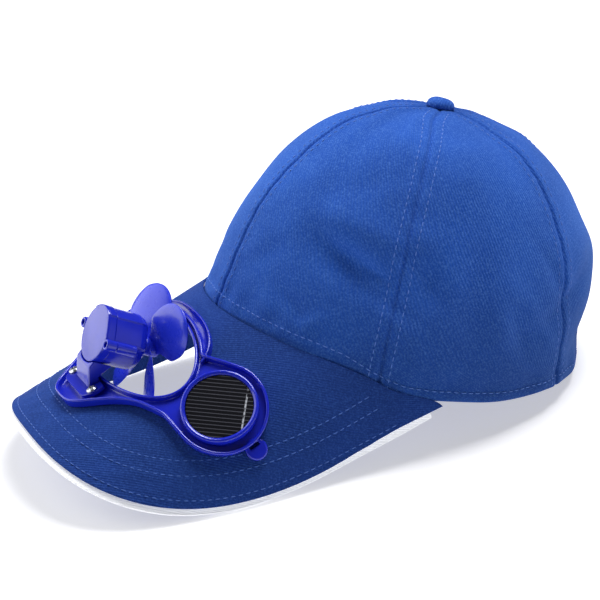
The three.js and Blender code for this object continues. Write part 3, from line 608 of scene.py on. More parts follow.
@dataclass(frozen=True)
class TurnedSteel:
    """Zinc-plated steel, turned on a lathe: bright, with faint rings that blur its reflections."""

    name: str
    base: str = "#d2d5da"
    tarnish: str = "#9da1a8"
    ring: float = 0.35

    def build(self) -> Material:
        """The steel as a material on Object coordinates.

        Returns:
            The material.
        """
        surface = Surface.begin(self.name, {"Metallic": 1.0})
        place = surface.place("Object")
        grain = surface.noise(place, self.ring, 3.0)
        surface.feed("Base Color", surface.blend(grain, linear(self.tarnish), linear(self.base)))
        surface.feed("Roughness", surface.ranged(grain, (0.0, 1.0), (0.16, 0.36)))
        return surface.material


@dataclass(frozen=True)
class SewingThread:
    """Spun polyester thread, twisted: paler than the cloth, with a soft sheen."""

    name: str
    base: str
    dark: str
    twist: float = 0.4

    def build(self) -> Material:
        """The thread as a material on Object coordinates.

        Returns:
            The material.
        """
        surface = Surface.begin(self.name, {
            "Roughness": 0.7, "Specular IOR Level": 0.3, "Sheen Weight": 0.2,
        })
        place = surface.place("Object")
        ply = surface.noise(place, self.twist, 1.0)
        surface.feed("Base Color", surface.blend(ply, linear(self.dark), linear(self.base)))
        return surface.material


@dataclass(frozen=True)
class PaperSweep:
    """Matt white paper on a light table, faintly mottled. The light from below keeps shadows on it pale."""

    name: str = "white background paper"
    base: str = "#dcdcde"
    mottle: str = "#d8d8da"
    glow: float = 0.5
    cloud: float = 333.0

    def build(self) -> Material:
        """The paper as a material on Object coordinates.

        Returns:
            The material.
        """
        surface = Surface.begin(self.name, {
            "Roughness": 0.95, "Specular IOR Level": 0.1, "Emission Color": linear("#ffffff"),
            "Emission Strength": self.glow,
        })
        place = surface.place("Object")
        cloud = surface.noise(place, self.cloud, 2.0)
        surface.feed("Base Color", surface.blend(cloud, linear(self.mottle), linear(self.base)))
        return surface.material


@dataclass
class Palette:
    """Every finish, built once."""

    twill: Material
    brim_twill: Material
    white_twill: Material
    plastic: Material
    fan_plastic: Material
    cell: Material
    steel: Material
    thread: Material
    brim_thread: Material
    paper: Material

    @classmethod
    def make(cls) -> "Palette":
        """Builds the finishes.

        Returns:
            The palette.
        """
        return cls(
            # The crown's twill is painted darker near the rim and paler at the top, as painted shade and
            # light.
            twill=BrushedTwill("royal blue brushed twill", "#16429c", "#225ac2", "#6ea4f0", painted_rim_shade=0.6,
                               painted_top_light=1.02).build(),
            # A darker copy of the crown's twill: partly the cloth drawn tight over its board, partly painted
            # shade where the crown shades the brim.
            brim_twill=BrushedTwill("royal blue twill over a stiff board", "#11306f", "#183d8f", "#4370cc",
                                    nap=0.1).build(),
            # The white edge glows with painted light from its emission.
            white_twill=BrushedTwill("white twill", "#f0f2f8", "#fbfcff", "#ffffff", weave_height=0.1,
                                     painted_glow=0.3).build(),
            plastic=GlossPlastic("cobalt moulded ABS", "#1a2bcc", "#1322b4").build(),
            fan_plastic=GlossPlastic("thin cobalt fan plastic", "#2c40e6", "#2236d8",
                                     roughness=0.26).build(),
            cell=SolarSilicon("black silicon cell").build(),
            steel=TurnedSteel("zinc-plated screw steel").build(),
            thread=SewingThread("pale blue sewing thread", "#648fe0", "#3d68c2").build(),
            brim_thread=SewingThread("blue sewing thread", "#4f78cc", "#2f5ab0").build(),
            paper=PaperSweep().build(),
        )


# The brim's surface


@dataclass(frozen=True)
class BrimSheet:
    """The arched sheet that the brim and the fan unit lie on.

    A point is given by its distance across the sheet from the crest, its distance forward of the front seam
    and its height over the cloth. The arch is the same at every distance forward, and its curvature grows
    from 1/crest_radius to 1/side_radius with the square of the distance from the crest, up to side_reach.
    """

    front: float = 99.0
    side: float = 86.0
    length: float = 110.0
    half_width: float = 114.0
    slope: float = math.radians(35.9)
    crest_radius: float = 115.0
    side_radius: float = 58.0
    side_reach: float = 82.0
    roundness: float = 2.7
    thickness: float = 3.6
    arc_step: float = 0.5
    tail: tuple[float, float, float] = (3.0, 12.5, 6.5)
    tail_start: float = 92.0
    tail_fade: float = 44.0
    corner: float = 0.998
    samples: int = 700
    spacing: float = 1.5
    least_room: float = 0.8

    def arch(self, across: Array) -> tuple[Array, Array, Array]:
        """The arch's turn, its sideways reach and its drop at distances across the sheet.

        The turn is the sum of the curvature, and reach and drop are the sums of its cosine and sine.

        Args:
            across: Distances across the sheet from its crest.

        Returns:
            The turn, the reach and the drop, each an array.
        """
        arc = np.arange(0.0, self.half_width * 1.4, self.arc_step)
        middle = arc[:-1] + self.arc_step / 2.0
        share = np.square(np.minimum(1.0, middle / self.side_reach))
        bend = (1.0 - share) / self.crest_radius + share / self.side_radius
        turn = np.concatenate([[0.0], np.cumsum(bend * self.arc_step)])
        half = (turn[1:] + turn[:-1]) / 2.0
        reach = np.concatenate([[0.0], np.cumsum(np.cos(half) * self.arc_step)])
        drop = np.concatenate([[0.0], np.cumsum(np.sin(half) * self.arc_step)])
        size, sign = np.abs(across), np.sign(across)
        turn, reach, drop = (np.interp(size, arc, value) for value in (turn, reach, drop))
        return sign * turn, sign * reach, drop

    def point(self, across: Array, forward: Array, height: Array) -> Array:
        """Points of the sheet, its two back corners drawn out along the crown by the tail.

        Args:
            across: Distances across the sheet from its crest.
            forward: Distances forward of the front seam.
            height: Heights over the cloth.

        Returns:
            The points, on the last axis.
        """
        across, forward, height = np.broadcast_arrays(*map(np.asarray, (across, forward, height)))
        turn, reach, drop = self.arch(across)
        lift = height * np.cos(turn) - drop
        c, s = math.cos(self.slope), math.sin(self.slope)
        flat = np.stack([
            reach + height * np.sin(turn), -self.front - lift * s - forward * c, lift * c - forward * s,
        ], axis=-1)
        share = smoothstep(np.abs(across), self.tail_start, self.half_width)
        share *= smoothstep(-forward, 0.0, self.tail_fade)
        signs = np.stack([np.sign(across), np.ones_like(reach), np.ones_like(reach)], axis=-1)
        return flat + share[..., None] * np.array(self.tail) * signs

    def frame(self, across: float, forward: float, height: float) -> tuple[Array, Array]:
        """A place on the sheet and its axes as rows: to the wearer's right, forward, and out of the cloth.

        Args:
            across: The distance across.
            forward: The distance forward.
            height: The height over the cloth.

        Returns:
            The place, and the three axes as rows.
        """
        turn = float(self.arch(np.array(across))[0])
        c, s = math.cos(self.slope), math.sin(self.slope)
        out = np.array([math.sin(turn), -math.cos(turn) * s, math.cos(turn) * c])
        ahead = np.array([0.0, -c, -s])
        return self.point(across, forward, height), np.stack([np.cross(ahead, out), ahead, out])

    def inner_edge(self, across: Array, height: float, gap: float) -> Array:
        """How far forward of the front seam the sheet meets the crown's oval wall.

        Args:
            across: Distances across the sheet from its crest.
            height: The height over the cloth where they meet.
            gap: The space kept outside the wall.

        Returns:
            The distances forward.
        """
        start = self.point(across, 0.0, height)
        x = np.clip(start[..., 0] / (self.side + gap), -1.0, 1.0)
        wall_y = -(self.front + gap) * np.sqrt(1.0 - x * x)
        return (start[..., 1] - wall_y) / math.cos(self.slope)

    def outer_edge(self, across: Array, inset: float) -> Array:
        """How far forward the brim reaches: a curve |x|^n + |y|^n = 1 between its sides and its tip.

        Args:
            across: Distances across the sheet from its crest.
            inset: How far inside the brim's own edge.

        Returns:
            The distances forward.
        """
        side_end = float(self.inner_edge(np.array(self.half_width), 0.0, 0.0))
        share = np.clip(np.abs(across) / (self.half_width - inset), 0.0, 1.0)
        reach = self.length - inset - side_end
        return side_end + reach * (1.0 - share**self.roundness) ** (1.0 / self.roundness)

    def outline(self, inset: float, gap: float, height: float) -> Array:
        """The brim's closed outline as distances across and forward, from side to side and back.

        Args:
            inset: How far inside the brim's own edge.
            gap: The space kept outside the crown's wall.
            height: The height over the cloth where they meet.

        Returns:
            Rows of distances across and forward.
        """
        swing = np.linspace(-0.5, 0.5, self.samples) * math.pi
        half = (self.half_width - inset) * self.corner
        across = half * np.sin(swing)
        outer = np.stack([across, self.outer_edge(across, inset)], axis=1)
        inner = np.stack([across, self.inner_edge(across, height, gap)], axis=1)
        outer[:, 1] = np.maximum(outer[:, 1], inner[:, 1] + self.least_room)
        front, _ = along(outer, self.spacing)
        back, _ = along(inner[::-1], self.spacing)
        return np.vstack([front, back])


SHEET = BrimSheet()
HOLE_CENTRE = np.array([0.0, 42.5])
HOLE_HALF = np.array([40.5, 23.0])


def oval(direction: Array, half: Array) -> Array:
    """Points of an oval about the hole's centre along unit directions: 1 / sqrt((x/a)^2 + (y/b)^2) away."""
    reach = 1.0 / np.sqrt(np.square(direction / half).sum(axis=1))
    return HOLE_CENTRE + direction * reach[:, None]


def sides(outline: Array) -> Array:
    """Unit directions square to a closed outline that runs clockwise or not, pointing out of it.

    Args:
        outline: Rows of points.

    Returns:
        A unit direction for each point.
    """
    tangent = unit(np.roll(outline, -1, axis=0) - np.roll(outline, 1, axis=0))
    normal = np.stack([tangent[:, 1], -tangent[:, 0]], axis=1)
    x, y = outline.T
    area = (x * np.roll(y, -1) - y * np.roll(x, -1)).sum()
    return normal if area > 0 else -normal


def ring_body(outer: Array, inner: Array, section: Array, steps: int = 1) -> Form:
    """A body round a hole, laid on the brim: one section carried along two outlines.

    Each row of the section is a share of the way from the outer outline to the inner, a distance in from the
    outer, a distance out from the inner, and a height over the cloth.

    Args:
        outer: The outer outline, across and forward.
        inner: The inner outline, with as many points.
        section: The section's rows, a closed loop.
        steps: Spans between rows whose shares differ.

    Returns:
        The closed body, with its place on the brim as the cloth's own coordinates.
    """
    rows = [section[0]]
    for before, after in zip(section, np.roll(section, -1, axis=0)):
        spans = steps if abs(after[0] - before[0]) > 0.5 else 1
        rows += [before + (after - before) * k / spans for k in range(1, spans + 1)]
    share, pull, push, height = (column[None, :, None] for column in np.array(rows[:-1]).T)
    outside = outer[:, None] - sides(outer)[:, None] * pull
    inside = inner[:, None] + sides(inner)[:, None] * push
    flat = outside * (1.0 - share) + inside * share
    level = np.broadcast_to(height[..., 0], flat.shape[:2])
    points = SHEET.point(flat[..., 0], flat[..., 1], level)
    return loops(points, True, flat)


# Stitches


@dataclass(frozen=True)
class Stitching:
    """One run of machine stitches: short strands that dip into the cloth at both ends."""

    length: float = 2.5
    gap: float = 1.0
    half_width: float = 0.24
    rise: float = 0.24
    sides: int = 6
    rings: int = 4

    def row(self, path: Array, out: Array) -> Form:
        """Strands along a path.

        A strand's section is an oval whose size falls as sqrt(1 - t^2) towards its ends, where t runs from
        -1 to 1, and its height over the cloth is rise times 1 - t^2.

        Args:
            path: The run's points on the cloth.
            out: The cloth's direction outwards at each of them.

        Returns:
            All the strands as one form.
        """
        reach = np.concatenate([[0.0], np.cumsum(np.linalg.norm(np.diff(path, axis=0), axis=1))])
        count = max(1, int(reach[-1] / (self.length + self.gap)))
        middle = (np.arange(count) + 0.5) * reach[-1] / count
        t = np.linspace(-1.0, 1.0, self.rings + 2)[1:-1]
        stops = middle[:, None] + np.concatenate([[-1.0], t, [1.0]]) * self.length / 2.0
        spot = np.stack([np.interp(stops, reach, axis) for axis in path.T], axis=-1)
        up = unit(np.stack([np.interp(stops, reach, axis) for axis in out.T], axis=-1))
        ahead = unit(spot[:, -1:] - spot[:, :1])
        over = unit(np.cross(ahead, up))
        lift = self.rise * (1.0 - np.concatenate([[1.0], t * t, [1.0]])) - self.half_width * 0.4
        centre = spot + up * lift[:, None]
        size = self.half_width * np.sqrt(1.0 - t * t)[:, None, None]
        angle = (np.arange(self.sides) * TURN / self.sides)[:, None]
        loop = (
            centre[:, 1:-1, None] + over[:, 1:-1, None] * np.cos(angle) * size
            + up[:, 1:-1, None] * np.sin(angle) * size
        )
        body = loop.reshape(count, -1, 3)
        points = np.concatenate([body, centre[:, :1], centre[:, -1:]], axis=1)
        total = points.shape[1]
        tube = grid_faces(self.rings, self.sides, False, True)
        j = np.arange(self.sides)
        last = (self.rings - 1) * self.sides
        start = np.stack([np.full_like(j, total - 2), (j + 1) % self.sides, j], axis=1)
        end = np.stack([np.full_like(j, total - 1), last + j, last + (j + 1) % self.sides], axis=1)
        shift = np.arange(count)[:, None, None] * total
        faces = (tube[None] + shift).reshape(-1, 4).tolist()
        faces += (start[None] + shift).reshape(-1, 3).tolist()
        faces += (end[None] + shift).reshape(-1, 3).tolist()
        return Form(points.reshape(-1, 3), faces)


# Crown


@dataclass(frozen=True)
class Fold:
    """A soft dent or fold: where it is round the crown and up it, its depth, its spreads and its lean."""

    turn: float
    height: float
    depth: float
    around: float
    tall: float
    lean: float = 0.0


@dataclass(frozen=True)
class Panel:
    """One of the crown's six panels, between two seams in degrees from the front seam."""

    name: str
    start: float
    end: float


# Rings of the crown from its top down: height, then front, side and back as shares of the crown's sizes
RINGS = np.array([
    [1.000, 0.032, 0.037, 0.033], [0.993, 0.120, 0.130, 0.150], [0.974, 0.265, 0.240, 0.265],
    [0.945, 0.355, 0.345, 0.370], [0.892, 0.478, 0.490, 0.525], [0.815, 0.585, 0.600, 0.652],
    [0.710, 0.685, 0.700, 0.772], [0.590, 0.775, 0.785, 0.862], [0.455, 0.855, 0.860, 0.950],
    [0.305, 0.915, 0.925, 0.992], [0.150, 0.962, 0.970, 1.000], [0.000, 1.000, 1.000, 1.000],
])

# The first ten are the solids' own large folds. The rest follow the photograph: a fuller front, a
# flatter back, the slack on both sides of the near seam, and finer creases
FOLDS = (
    Fold(46, 0.33, -3.3, 9, 0.13, -14), Fold(58, 0.20, 1.95, 6, 0.12, -10), Fold(84, 0.24, -1.5, 5, 0.20),
    Fold(94, 0.24, 1.35, 5, 0.22), Fold(124, 0.30, -2.4, 7, 0.14, 16), Fold(150, 0.52, 1.35, 14, 0.12),
    Fold(180, 0.42, 2.4, 16, 0.10), Fold(-50, 0.32, -2.7, 10, 0.14, 12), Fold(-90, 0.26, 1.5, 7, 0.20),
    Fold(-122, 0.34, -2.25, 8, 0.15, -14),
    Fold(6, 0.62, 3.6, 34, 0.30), Fold(146, 0.02, -4.0, 26, 0.16),
    Fold(30, 0.15, -1.5, 3.5, 0.07, -6), Fold(22, 0.10, 1.0, 3.0, 0.06, -4),
    Fold(38, 0.09, 1.2, 3.2, 0.06, 5), Fold(46, 0.36, -4.6, 12.0, 0.1, -10),
    Fold(46, 0.53, 2.2, 14.0, 0.07, -8), Fold(14, 0.30, -0.8, 5.0, 0.10, 6),
    Fold(68, 0.36, -3.0, 6.0, 0.12, -6), Fold(66, 0.54, 1.4, 9.0, 0.07),
    Fold(54, 0.30, 1.5, 3.6, 0.06, -9), Fold(70, 0.40, -1.3, 3.0, 0.22, 4),
    Fold(76, 0.36, 1.2, 3.2, 0.24, 4), Fold(88, 0.55, -0.9, 4.5, 0.16, 5),
    Fold(100, 0.16, -1.3, 3.0, 0.14, -5), Fold(108, 0.20, 1.2, 3.4, 0.14, -8),
    Fold(114, 0.42, -1.2, 3.0, 0.13, -6), Fold(66, 0.90, -0.9, 8.0, 0.03, 8),
    Fold(80, 0.80, 0.9, 9.0, 0.06, 6), Fold(40, 0.70, -0.8, 8.0, 0.07, 8),
    Fold(-28, 0.14, -1.3, 4.0, 0.08, 5), Fold(-72, 0.38, 1.1, 4.0, 0.22, -4),
    Fold(-102, 0.20, -1.2, 4.0, 0.14, 6), Fold(160, 0.24, -1.0, 4.0, 0.10, 6),
    Fold(-150, 0.3, -1.2, 5.0, 0.12, 6), Fold(-140, 0.66, 0.9, 9.0, 0.10),
)


@dataclass
class Crown:
    """The six cloth panels, their seams and hem, the button and the strap."""

    front: float = 99.0
    back: float = 95.0
    side: float = 86.0
    height: float = 103.0
    wall: float = 1.5
    rim_side: float = 15.5
    rim_back: float = 9.5
    tuck_back: float = 4.0
    skirt: float = 0.18
    fade: float = 14.0
    arch_half: float = 35.0
    arch_top: float = 40.5
    arch_roundness: float = 2.35
    ditch: float = 0.85
    ditch_width: float = 1.0
    welt: float = 0.32
    stitch_reach: float = 4.4
    hem_height: float = 4.3
    hem_swell: float = 0.45
    hem_share: float = 1.25
    button_radius: float = 6.8
    button_height: float = 4.2
    strap_height: float = 18.0
    strap_rise: float = 3.0
    strap_overlap: float = 14.0
    strap_wall: float = 1.6
    strap_gap: float = 0.6
    columns: int = 58
    back_columns: int = 90
    rows: int = 120
    crowding: float = 0.92
    rim_steps: int = 119
    opening_steps: int = 240
    readings: int = 401
    slope_step: float = 0.004
    brim_ends: Span = (math.radians(46), math.radians(78))
    panels: tuple[Panel, ...] = (
        Panel("front_left", 0, 60), Panel("side_left", 60, 120), Panel("back_left", 120, 180),
        Panel("back_right", -180, -120), Panel("side_right", -120, -60), Panel("front_right", -60, 0),
    )

    def rim(self, turn: Array) -> Array:
        """Height of the rim: under the brim in front, and blended to its own line round the back.

        Args:
            turn: Turns from the front seam.

        Returns:
            The heights.
        """
        size = np.abs(turn)
        reach = self.side * np.sin(size)
        arcs = np.arange(0.0, SHEET.half_width, SHEET.arc_step)
        arc = np.interp(reach, SHEET.arch(arcs)[1], arcs)
        low = -SHEET.thickness
        seam = SHEET.point(arc, SHEET.inner_edge(arc, low, 0.0), low)[..., 2]
        rise = smoothstep(size, math.radians(90), math.radians(132))
        free = -(self.rim_side * (1.0 - rise) + self.rim_back * rise)
        leave = smoothstep(size, *self.brim_ends)
        return seam * (1.0 - leave) + free * leave

    def folds(self, turn: Array, level: Array) -> Array:
        """Depth of the folds: each is a hump exp(-a^2 - t^2) in its own turn and height.

        Args:
            turn: Turns from the front seam.
            level: Heights in the crown.

        Returns:
            The depths, outward positive.
        """
        total = np.zeros(np.broadcast(turn, level).shape)
        for fold in FOLDS:
            tall = (level / self.height - fold.height) / fold.tall
            away = turn - np.radians(fold.turn + fold.lean * tall)
            away = np.arctan2(np.sin(away), np.cos(away)) / math.radians(fold.around)
            total = total + fold.depth * np.exp(-away * away - tall * tall)
        return total

    def base(self, turn: Array, down: Array) -> Array:
        """The crown's plain surface, by turn about the button and share of the way from top to rim.

        A ring's half lengths come from the table, and the last part of the way drops straight to the rim.

        Args:
            turn: Turns from the front seam.
            down: Shares of the way from the top to the rim.

        Returns:
            The points, on the last axis.
        """
        turn, down = np.broadcast_arrays(turn, down)
        ring = through(RINGS, np.clip(down / (1.0 - self.skirt), 0.0, 1.0))
        skirt = np.clip((down - 1.0 + self.skirt) / self.skirt, 0.0, 1.0)
        rim = self.rim(turn)
        level = ring[..., 0] * self.height + skirt * rim
        tuck = self.tuck_back * skirt * smoothstep(np.abs(turn), math.radians(100), math.radians(150))
        length = np.where(np.cos(turn) > 0.0, self.front * ring[..., 1], self.back * ring[..., 3] - tuck)
        push = self.folds(turn, level) * smoothstep(level - rim, 0.0, self.fade)
        swell = 1.0 + push / self.side
        return np.stack([
            self.side * ring[..., 2] * swell * np.sin(turn), -length * swell * np.cos(turn), level,
        ], axis=-1)

    def out(self, turn: Array, down: Array) -> Array:
        """The surface's direction outwards, from the cross product of its two slopes.

        Args:
            turn: Turns from the front seam.
            down: Shares of the way from the top to the rim.

        Returns:
            Unit directions, on the last axis.
        """
        step = self.slope_step
        around = self.base(turn + step, down) - self.base(turn - step, down)
        lower, upper = np.minimum(down + step, 1.0), np.maximum(down - step, 0.0)
        fall = self.base(turn, lower) - self.base(turn, upper)
        return unit(np.cross(fall, around))

    def hidden(self, turn: Array) -> Array:
        """Height of the lower edge that the brim's layers hide, from the front round to the temples."""
        return SHEET.thickness * (1.0 - smoothstep(np.abs(turn), *self.brim_ends))

    def relief(self, turn: Array, down: Array) -> Array:
        """How far the cloth stands out of its plain surface, in millimetres.

        A seam is a ditch with a raised welt on each side and small puckers, and the hem is a thicker band
        with its own puckers above the rim. Products of two waves, one slow and one fast, ripple the rest.

        Args:
            turn: Turns from the front seam.
            down: Shares of the way from the top to the rim.

        Returns:
            The distances out of the plain surface.
        """
        spot = self.base(turn, down)
        radius = np.hypot(spot[..., 0], spot[..., 1])
        sixth = math.radians(60)
        turn = np.arctan2(np.sin(turn), np.cos(turn))
        away = np.abs(turn - np.round(turn / sixth) * sixth) * radius
        number = np.abs(np.round(turn / sixth)) + np.sin(turn)
        above = spot[..., 2] - self.rim(turn) - self.hidden(turn) * self.hem_share
        ditch = -self.ditch * bell(away, self.ditch_width)
        raised = smoothstep(away, 0.2, 1.8)
        raised *= 1.0 - smoothstep(away, self.stitch_reach, self.stitch_reach + 2.6)
        line = -0.16 * bell(away - self.stitch_reach, 0.8)
        tug = np.sin(above / 1.75 + number * 2.1 + np.sin(above / 9.0))
        pucker = 0.16 * tug * bell(away - 3.0, 3.4)
        hem = self.hem_swell * (1.0 - smoothstep(above, self.hem_height, self.hem_height + 1.2))
        hem_line = -0.2 * bell(above - self.hem_height - 0.4, 0.9)
        along_rim = (np.abs(turn) + 0.3 * np.sin(turn)) * self.side
        tug = np.sin(along_rim / 2.7 + 1.4 * np.sin(along_rim / 11.0))
        gather = 0.4 * tug * bell(above - 7.0, 6.0) * (1.0 - bell(above, 2.0))
        slow = np.sin(along_rim / 15.0 + above / 23.0) * np.sin(above / 17.0 - along_rim / 41.0)
        fast = np.sin(along_rim / 6.5 + 2.0 * np.sin(above / 21.0))
        fast *= np.sin(above / 8.0 + along_rim / 19.0)
        ripple = 0.62 * slow + 0.26 * fast
        top = smoothstep(down, 0.06, 0.16)
        seam = (ditch + (self.welt * raised + line + pucker) * top) * smoothstep(down, 0.0, 0.05)
        return seam + hem + hem_line + gather + ripple * top

    def skin(self, turn: Array, down: Array) -> Array:
        """Points of the cloth's outer face: the plain surface moved outwards by its relief."""
        return self.base(turn, down) + self.out(turn, down) * self.relief(turn, down)[..., None]

    def down_at(self, turn: Array, level: Array) -> Array:
        """Share of the way down at which each column comes to a level, read off even steps of the column.

        Args:
            turn: Turns from the front seam.
            level: The level wanted, or a row of them, for each turn.

        Returns:
            The shares.
        """
        steps = np.linspace(0.0, 1.0, self.readings)
        columns = self.base(turn[:, None], steps[None, :])[..., 2]
        return np.array([np.interp(-want, -column, steps) for want, column in zip(level, columns)])

    def arch_share(self, turn: Array) -> Array:
        """Share of the way down at which the back opening cuts a column, or 1 where it doesn't.

        Args:
            turn: Turns from the front seam.

        Returns:
            The shares.
        """
        far = np.full(turn.shape, 1.0)
        edge = self.base(turn, np.ones_like(turn))
        share = np.clip(np.abs(edge[..., 0]) / self.arch_half, 0.0, 1.0)
        behind = (share < 1.0) & (np.cos(turn) < 0.0)
        rim = self.rim(turn)
        rise = (1.0 - share**self.arch_roundness) ** (1.0 / self.arch_roundness)
        level = rim + (self.arch_top - rim) * rise
        far[behind] = self.down_at(turn, level)[behind]
        return far

    def columns_of(self, panel: Panel) -> tuple[Array, Array, Array]:
        """Columns of a panel, close together at its seams, from the top to the rim or the back opening.

        A column of a back panel leans so that its lower end is at an even step along the rim and then up
        the opening's edge, which a half superellipse cuts.

        Args:
            panel: The panel.

        Returns:
            The turn of each column at its top, its turn at its lower end, and its share of the way down.
        """
        start, end = math.radians(abs(panel.start)), math.radians(abs(panel.end))
        seam, middle = min(start, end), max(start, end)
        sign = 1.0 if panel.end > 0 else -1.0
        behind = middle > math.radians(179)
        t = np.linspace(0.0, 1.0, self.back_columns if behind else self.columns)
        eased = t - self.crowding * np.sin(TURN * t) / TURN
        high = sign * (seam + (middle - seam) * eased)
        if not behind:
            return high, high, np.ones_like(high)
        angle = np.linspace(0.0, math.pi / 2.0, self.opening_steps)
        across = self.arch_half * np.clip(np.cos(angle), 0.0, 1.0) ** (2.0 / self.arch_roundness)
        corner = math.pi - math.asin(self.arch_half / self.side)
        opening = np.minimum(math.pi - np.arcsin(across / self.side), middle)
        rim = np.linspace(seam, corner, self.rim_steps, endpoint=False)
        path = sign * np.concatenate([rim, opening])
        share = self.arch_share(path)
        share[:self.rim_steps] = 1.0
        edge = self.base(path, share)
        length = np.concatenate([[0.0], np.cumsum(np.linalg.norm(np.diff(edge, axis=0), axis=1))])
        turning, whole = length[self.rim_steps], length[-1]
        reach = whole * eased
        nearest = int(np.argmin(np.abs(reach - turning)))
        reach[:nearest + 1] *= turning / reach[nearest]
        left = (reach[nearest + 1:] - whole) / (reach[nearest + 1] - whole)
        first = turning + (whole - turning) / (len(reach) - nearest)
        reach[nearest + 1:] = whole + (first - whole) * left
        return high, np.interp(reach, length, path), np.interp(reach, length, share)

    def panel(self, panel: Panel) -> Form:
        """One panel as a closed wall of cloth with a rolled lower edge.

        Args:
            panel: The panel.

        Returns:
            The closed wall.
        """
        high, low, reach = self.columns_of(panel)
        t = np.linspace(0.0, 1.0, self.rows)
        rows = np.concatenate([t * 0.97, [0.98, 0.99, 0.9965, 1.0]])
        down = rows[:, None] * reach[None, :]
        turns = high[None, :] + (low - high)[None, :] * (rows * rows)[:, None]
        if high[0] > high[-1]:
            down, turns = down[:, ::-1], turns[:, ::-1]
        spot, out = self.base(turns, down), self.out(turns, down)
        rise = self.relief(turns, down)
        bend = smoothstep(rows, 0.985, 1.0)
        roll = (self.wall / 2.0) * (1.0 - np.sqrt(np.clip(1.0 - bend**2, 0.0, 1.0)))
        outer = spot + out * (rise - roll[:, None])[..., None]
        inner = spot - out * (self.wall - 0.25 * np.minimum(rise, 0.0) - roll[:, None])[..., None]
        radius = np.hypot(spot[..., 0], spot[..., 1])
        flat = np.stack([turns * (radius * 0.35 + self.side * 0.65), -down * self.height * 1.35], axis=-1)
        return wall(outer, inner, flat)

    def button(self) -> Form:
        """The covered button: a dome cos^n, sin^n whose cloth is gathered under its edge in shallow pleats.

        Returns:
            The closed dome.
        """
        angle = np.linspace(0.0, math.pi / 2.0, 14)
        dome = np.stack([
            self.button_radius * np.cos(angle) ** 0.8,
            self.height + 0.3 + self.button_height * np.sin(angle) ** 0.8,
        ], axis=1)
        under = np.array([
            [0.0, self.height - 2.4], [2.3, self.height - 2.4], [2.4, self.height + 0.2],
            [self.button_radius * 0.86, self.height - 0.1], [self.button_radius * 0.97, self.height + 0.05],
        ])
        dome[-1, 0] = 0.0
        form = turned(np.vstack([under, dome]), 72)
        x, y, z = form.points.T
        around = np.arctan2(y, x)
        edge = bell(z - self.height - 0.8, 1.1)
        grow = 1.0 + 0.022 * edge * np.sin(around * 12.0)
        form.points = np.stack([x * grow, y * grow, z + 0.12 * np.sin(around * 2.0 + 0.6)], axis=1)
        form.flat = form.points[:, :2]
        return form

    def strap_points(self, share: Array, rise: Array, depth: float) -> Array:
        """Points of the strap inside the crown's back, by share round it, height over its edge and depth.

        Args:
            share: Shares of the way along the strap.
            rise: Heights over the strap's lower edge.
            depth: How far inside the cloth's outer face.

        Returns:
            The points, along the strap and up it.
        """
        half = self.arch_half + self.strap_overlap
        reach = math.asin(half / self.side)
        turn = math.pi + reach * (2.0 * share - 1.0)
        level = float(self.rim(np.array(math.pi))) + self.strap_rise + rise
        down = self.down_at(turn, np.broadcast_to(level, (len(turn), len(rise))))
        turns = np.broadcast_to(turn[:, None], down.shape)
        return self.base(turns, down) - self.out(turns, down) * depth

    def strap(self) -> Form:
        """The back strap: a flat band with rolled edges, carried round inside the crown.

        Returns:
            The closed band.
        """
        near = self.wall + self.strap_gap
        edge = 0.45
        rise = np.array([0, edge, self.strap_height / 2, self.strap_height - edge, self.strap_height])
        share = np.linspace(0.0, 1.0, 90)
        outer = self.strap_points(share, rise, near)
        inner = self.strap_points(share, rise[::-1], near + self.strap_wall)
        outer[:, [0, -1]] += (inner[:, [-1, 0]] - outer[:, [0, -1]]) * 0.25
        inner[:, [0, -1]] += (outer[:, [-1, 0]] - inner[:, [0, -1]]) * 0.25
        ring = np.concatenate([outer, inner], axis=1)
        half = (self.arch_half + self.strap_overlap) * 1.1
        flat = np.stack(np.meshgrid(
            (2.0 * share - 1.0) * half, np.concatenate([rise, rise[::-1]]), indexing="ij"), axis=-1)
        return loops(ring, False, flat)

    def seam_stitches(self) -> Form:
        """Two runs of stitches beside each seam.

        Returns:
            All the strands.
        """
        stitching = Stitching()
        down = np.linspace(0.075, 0.985, 300)
        rows = []
        for seam in range(-2, 4):
            for side in (-1.0, 1.0):
                centre = math.radians(60.0 * seam)
                middle = self.base(np.full_like(down, centre), down)
                radius = np.hypot(middle[..., 0], middle[..., 1])
                turn = centre + side * self.stitch_reach / radius
                keep = radius > self.stitch_reach * 2.2
                if seam == 3:
                    keep &= down < float(self.arch_share(np.array([math.pi]))[0]) - 0.02
                rows.append(stitching.row(self.skin(turn, down)[keep], self.out(turn, down)[keep]))
        return joined(rows)

    def hem_stitches(self) -> Form:
        """One run of stitches above the rim and round the back opening.

        Returns:
            All the strands.
        """
        limit = math.pi - math.asin(self.arch_half / self.side) - 0.03
        stitching = Stitching(length=2.7)
        turn = np.linspace(-limit, limit, 900)
        level = self.rim(turn) + self.hem_height + 0.4 + self.hidden(turn) * self.hem_share
        down = self.down_at(turn, level)
        form = stitching.row(self.skin(turn, down), self.out(turn, down))
        half = math.asin((self.arch_half - 1.2) / self.side)
        turn = math.pi + np.sin(np.linspace(-0.5, 0.5, 400) * math.pi) * half
        down = self.arch_share(turn) - self.hem_height / (self.height * 1.35)
        return form.add(stitching.row(self.skin(turn, down), self.out(turn, down)))

    def dress(self, palette: Palette) -> None:
        """Makes the crown's pieces.

        Args:
            palette: Every finish.
        """
        for panel in self.panels:
            make_piece(f"cloth_{panel.name}", self.panel(panel), palette.twill,
                       nodes=(f"crown_{panel.name}",), sharp=70.0)
        make_piece("covered_button", self.button(), palette.twill, nodes=("top_button",))
        make_piece("cloth_back_strap", self.strap(), palette.twill, nodes=("back_strap",))
        make_piece("crown_seam_stitches", self.seam_stitches(), palette.thread)
        make_piece("crown_hem_stitches", self.hem_stitches(), palette.thread)


# Brim


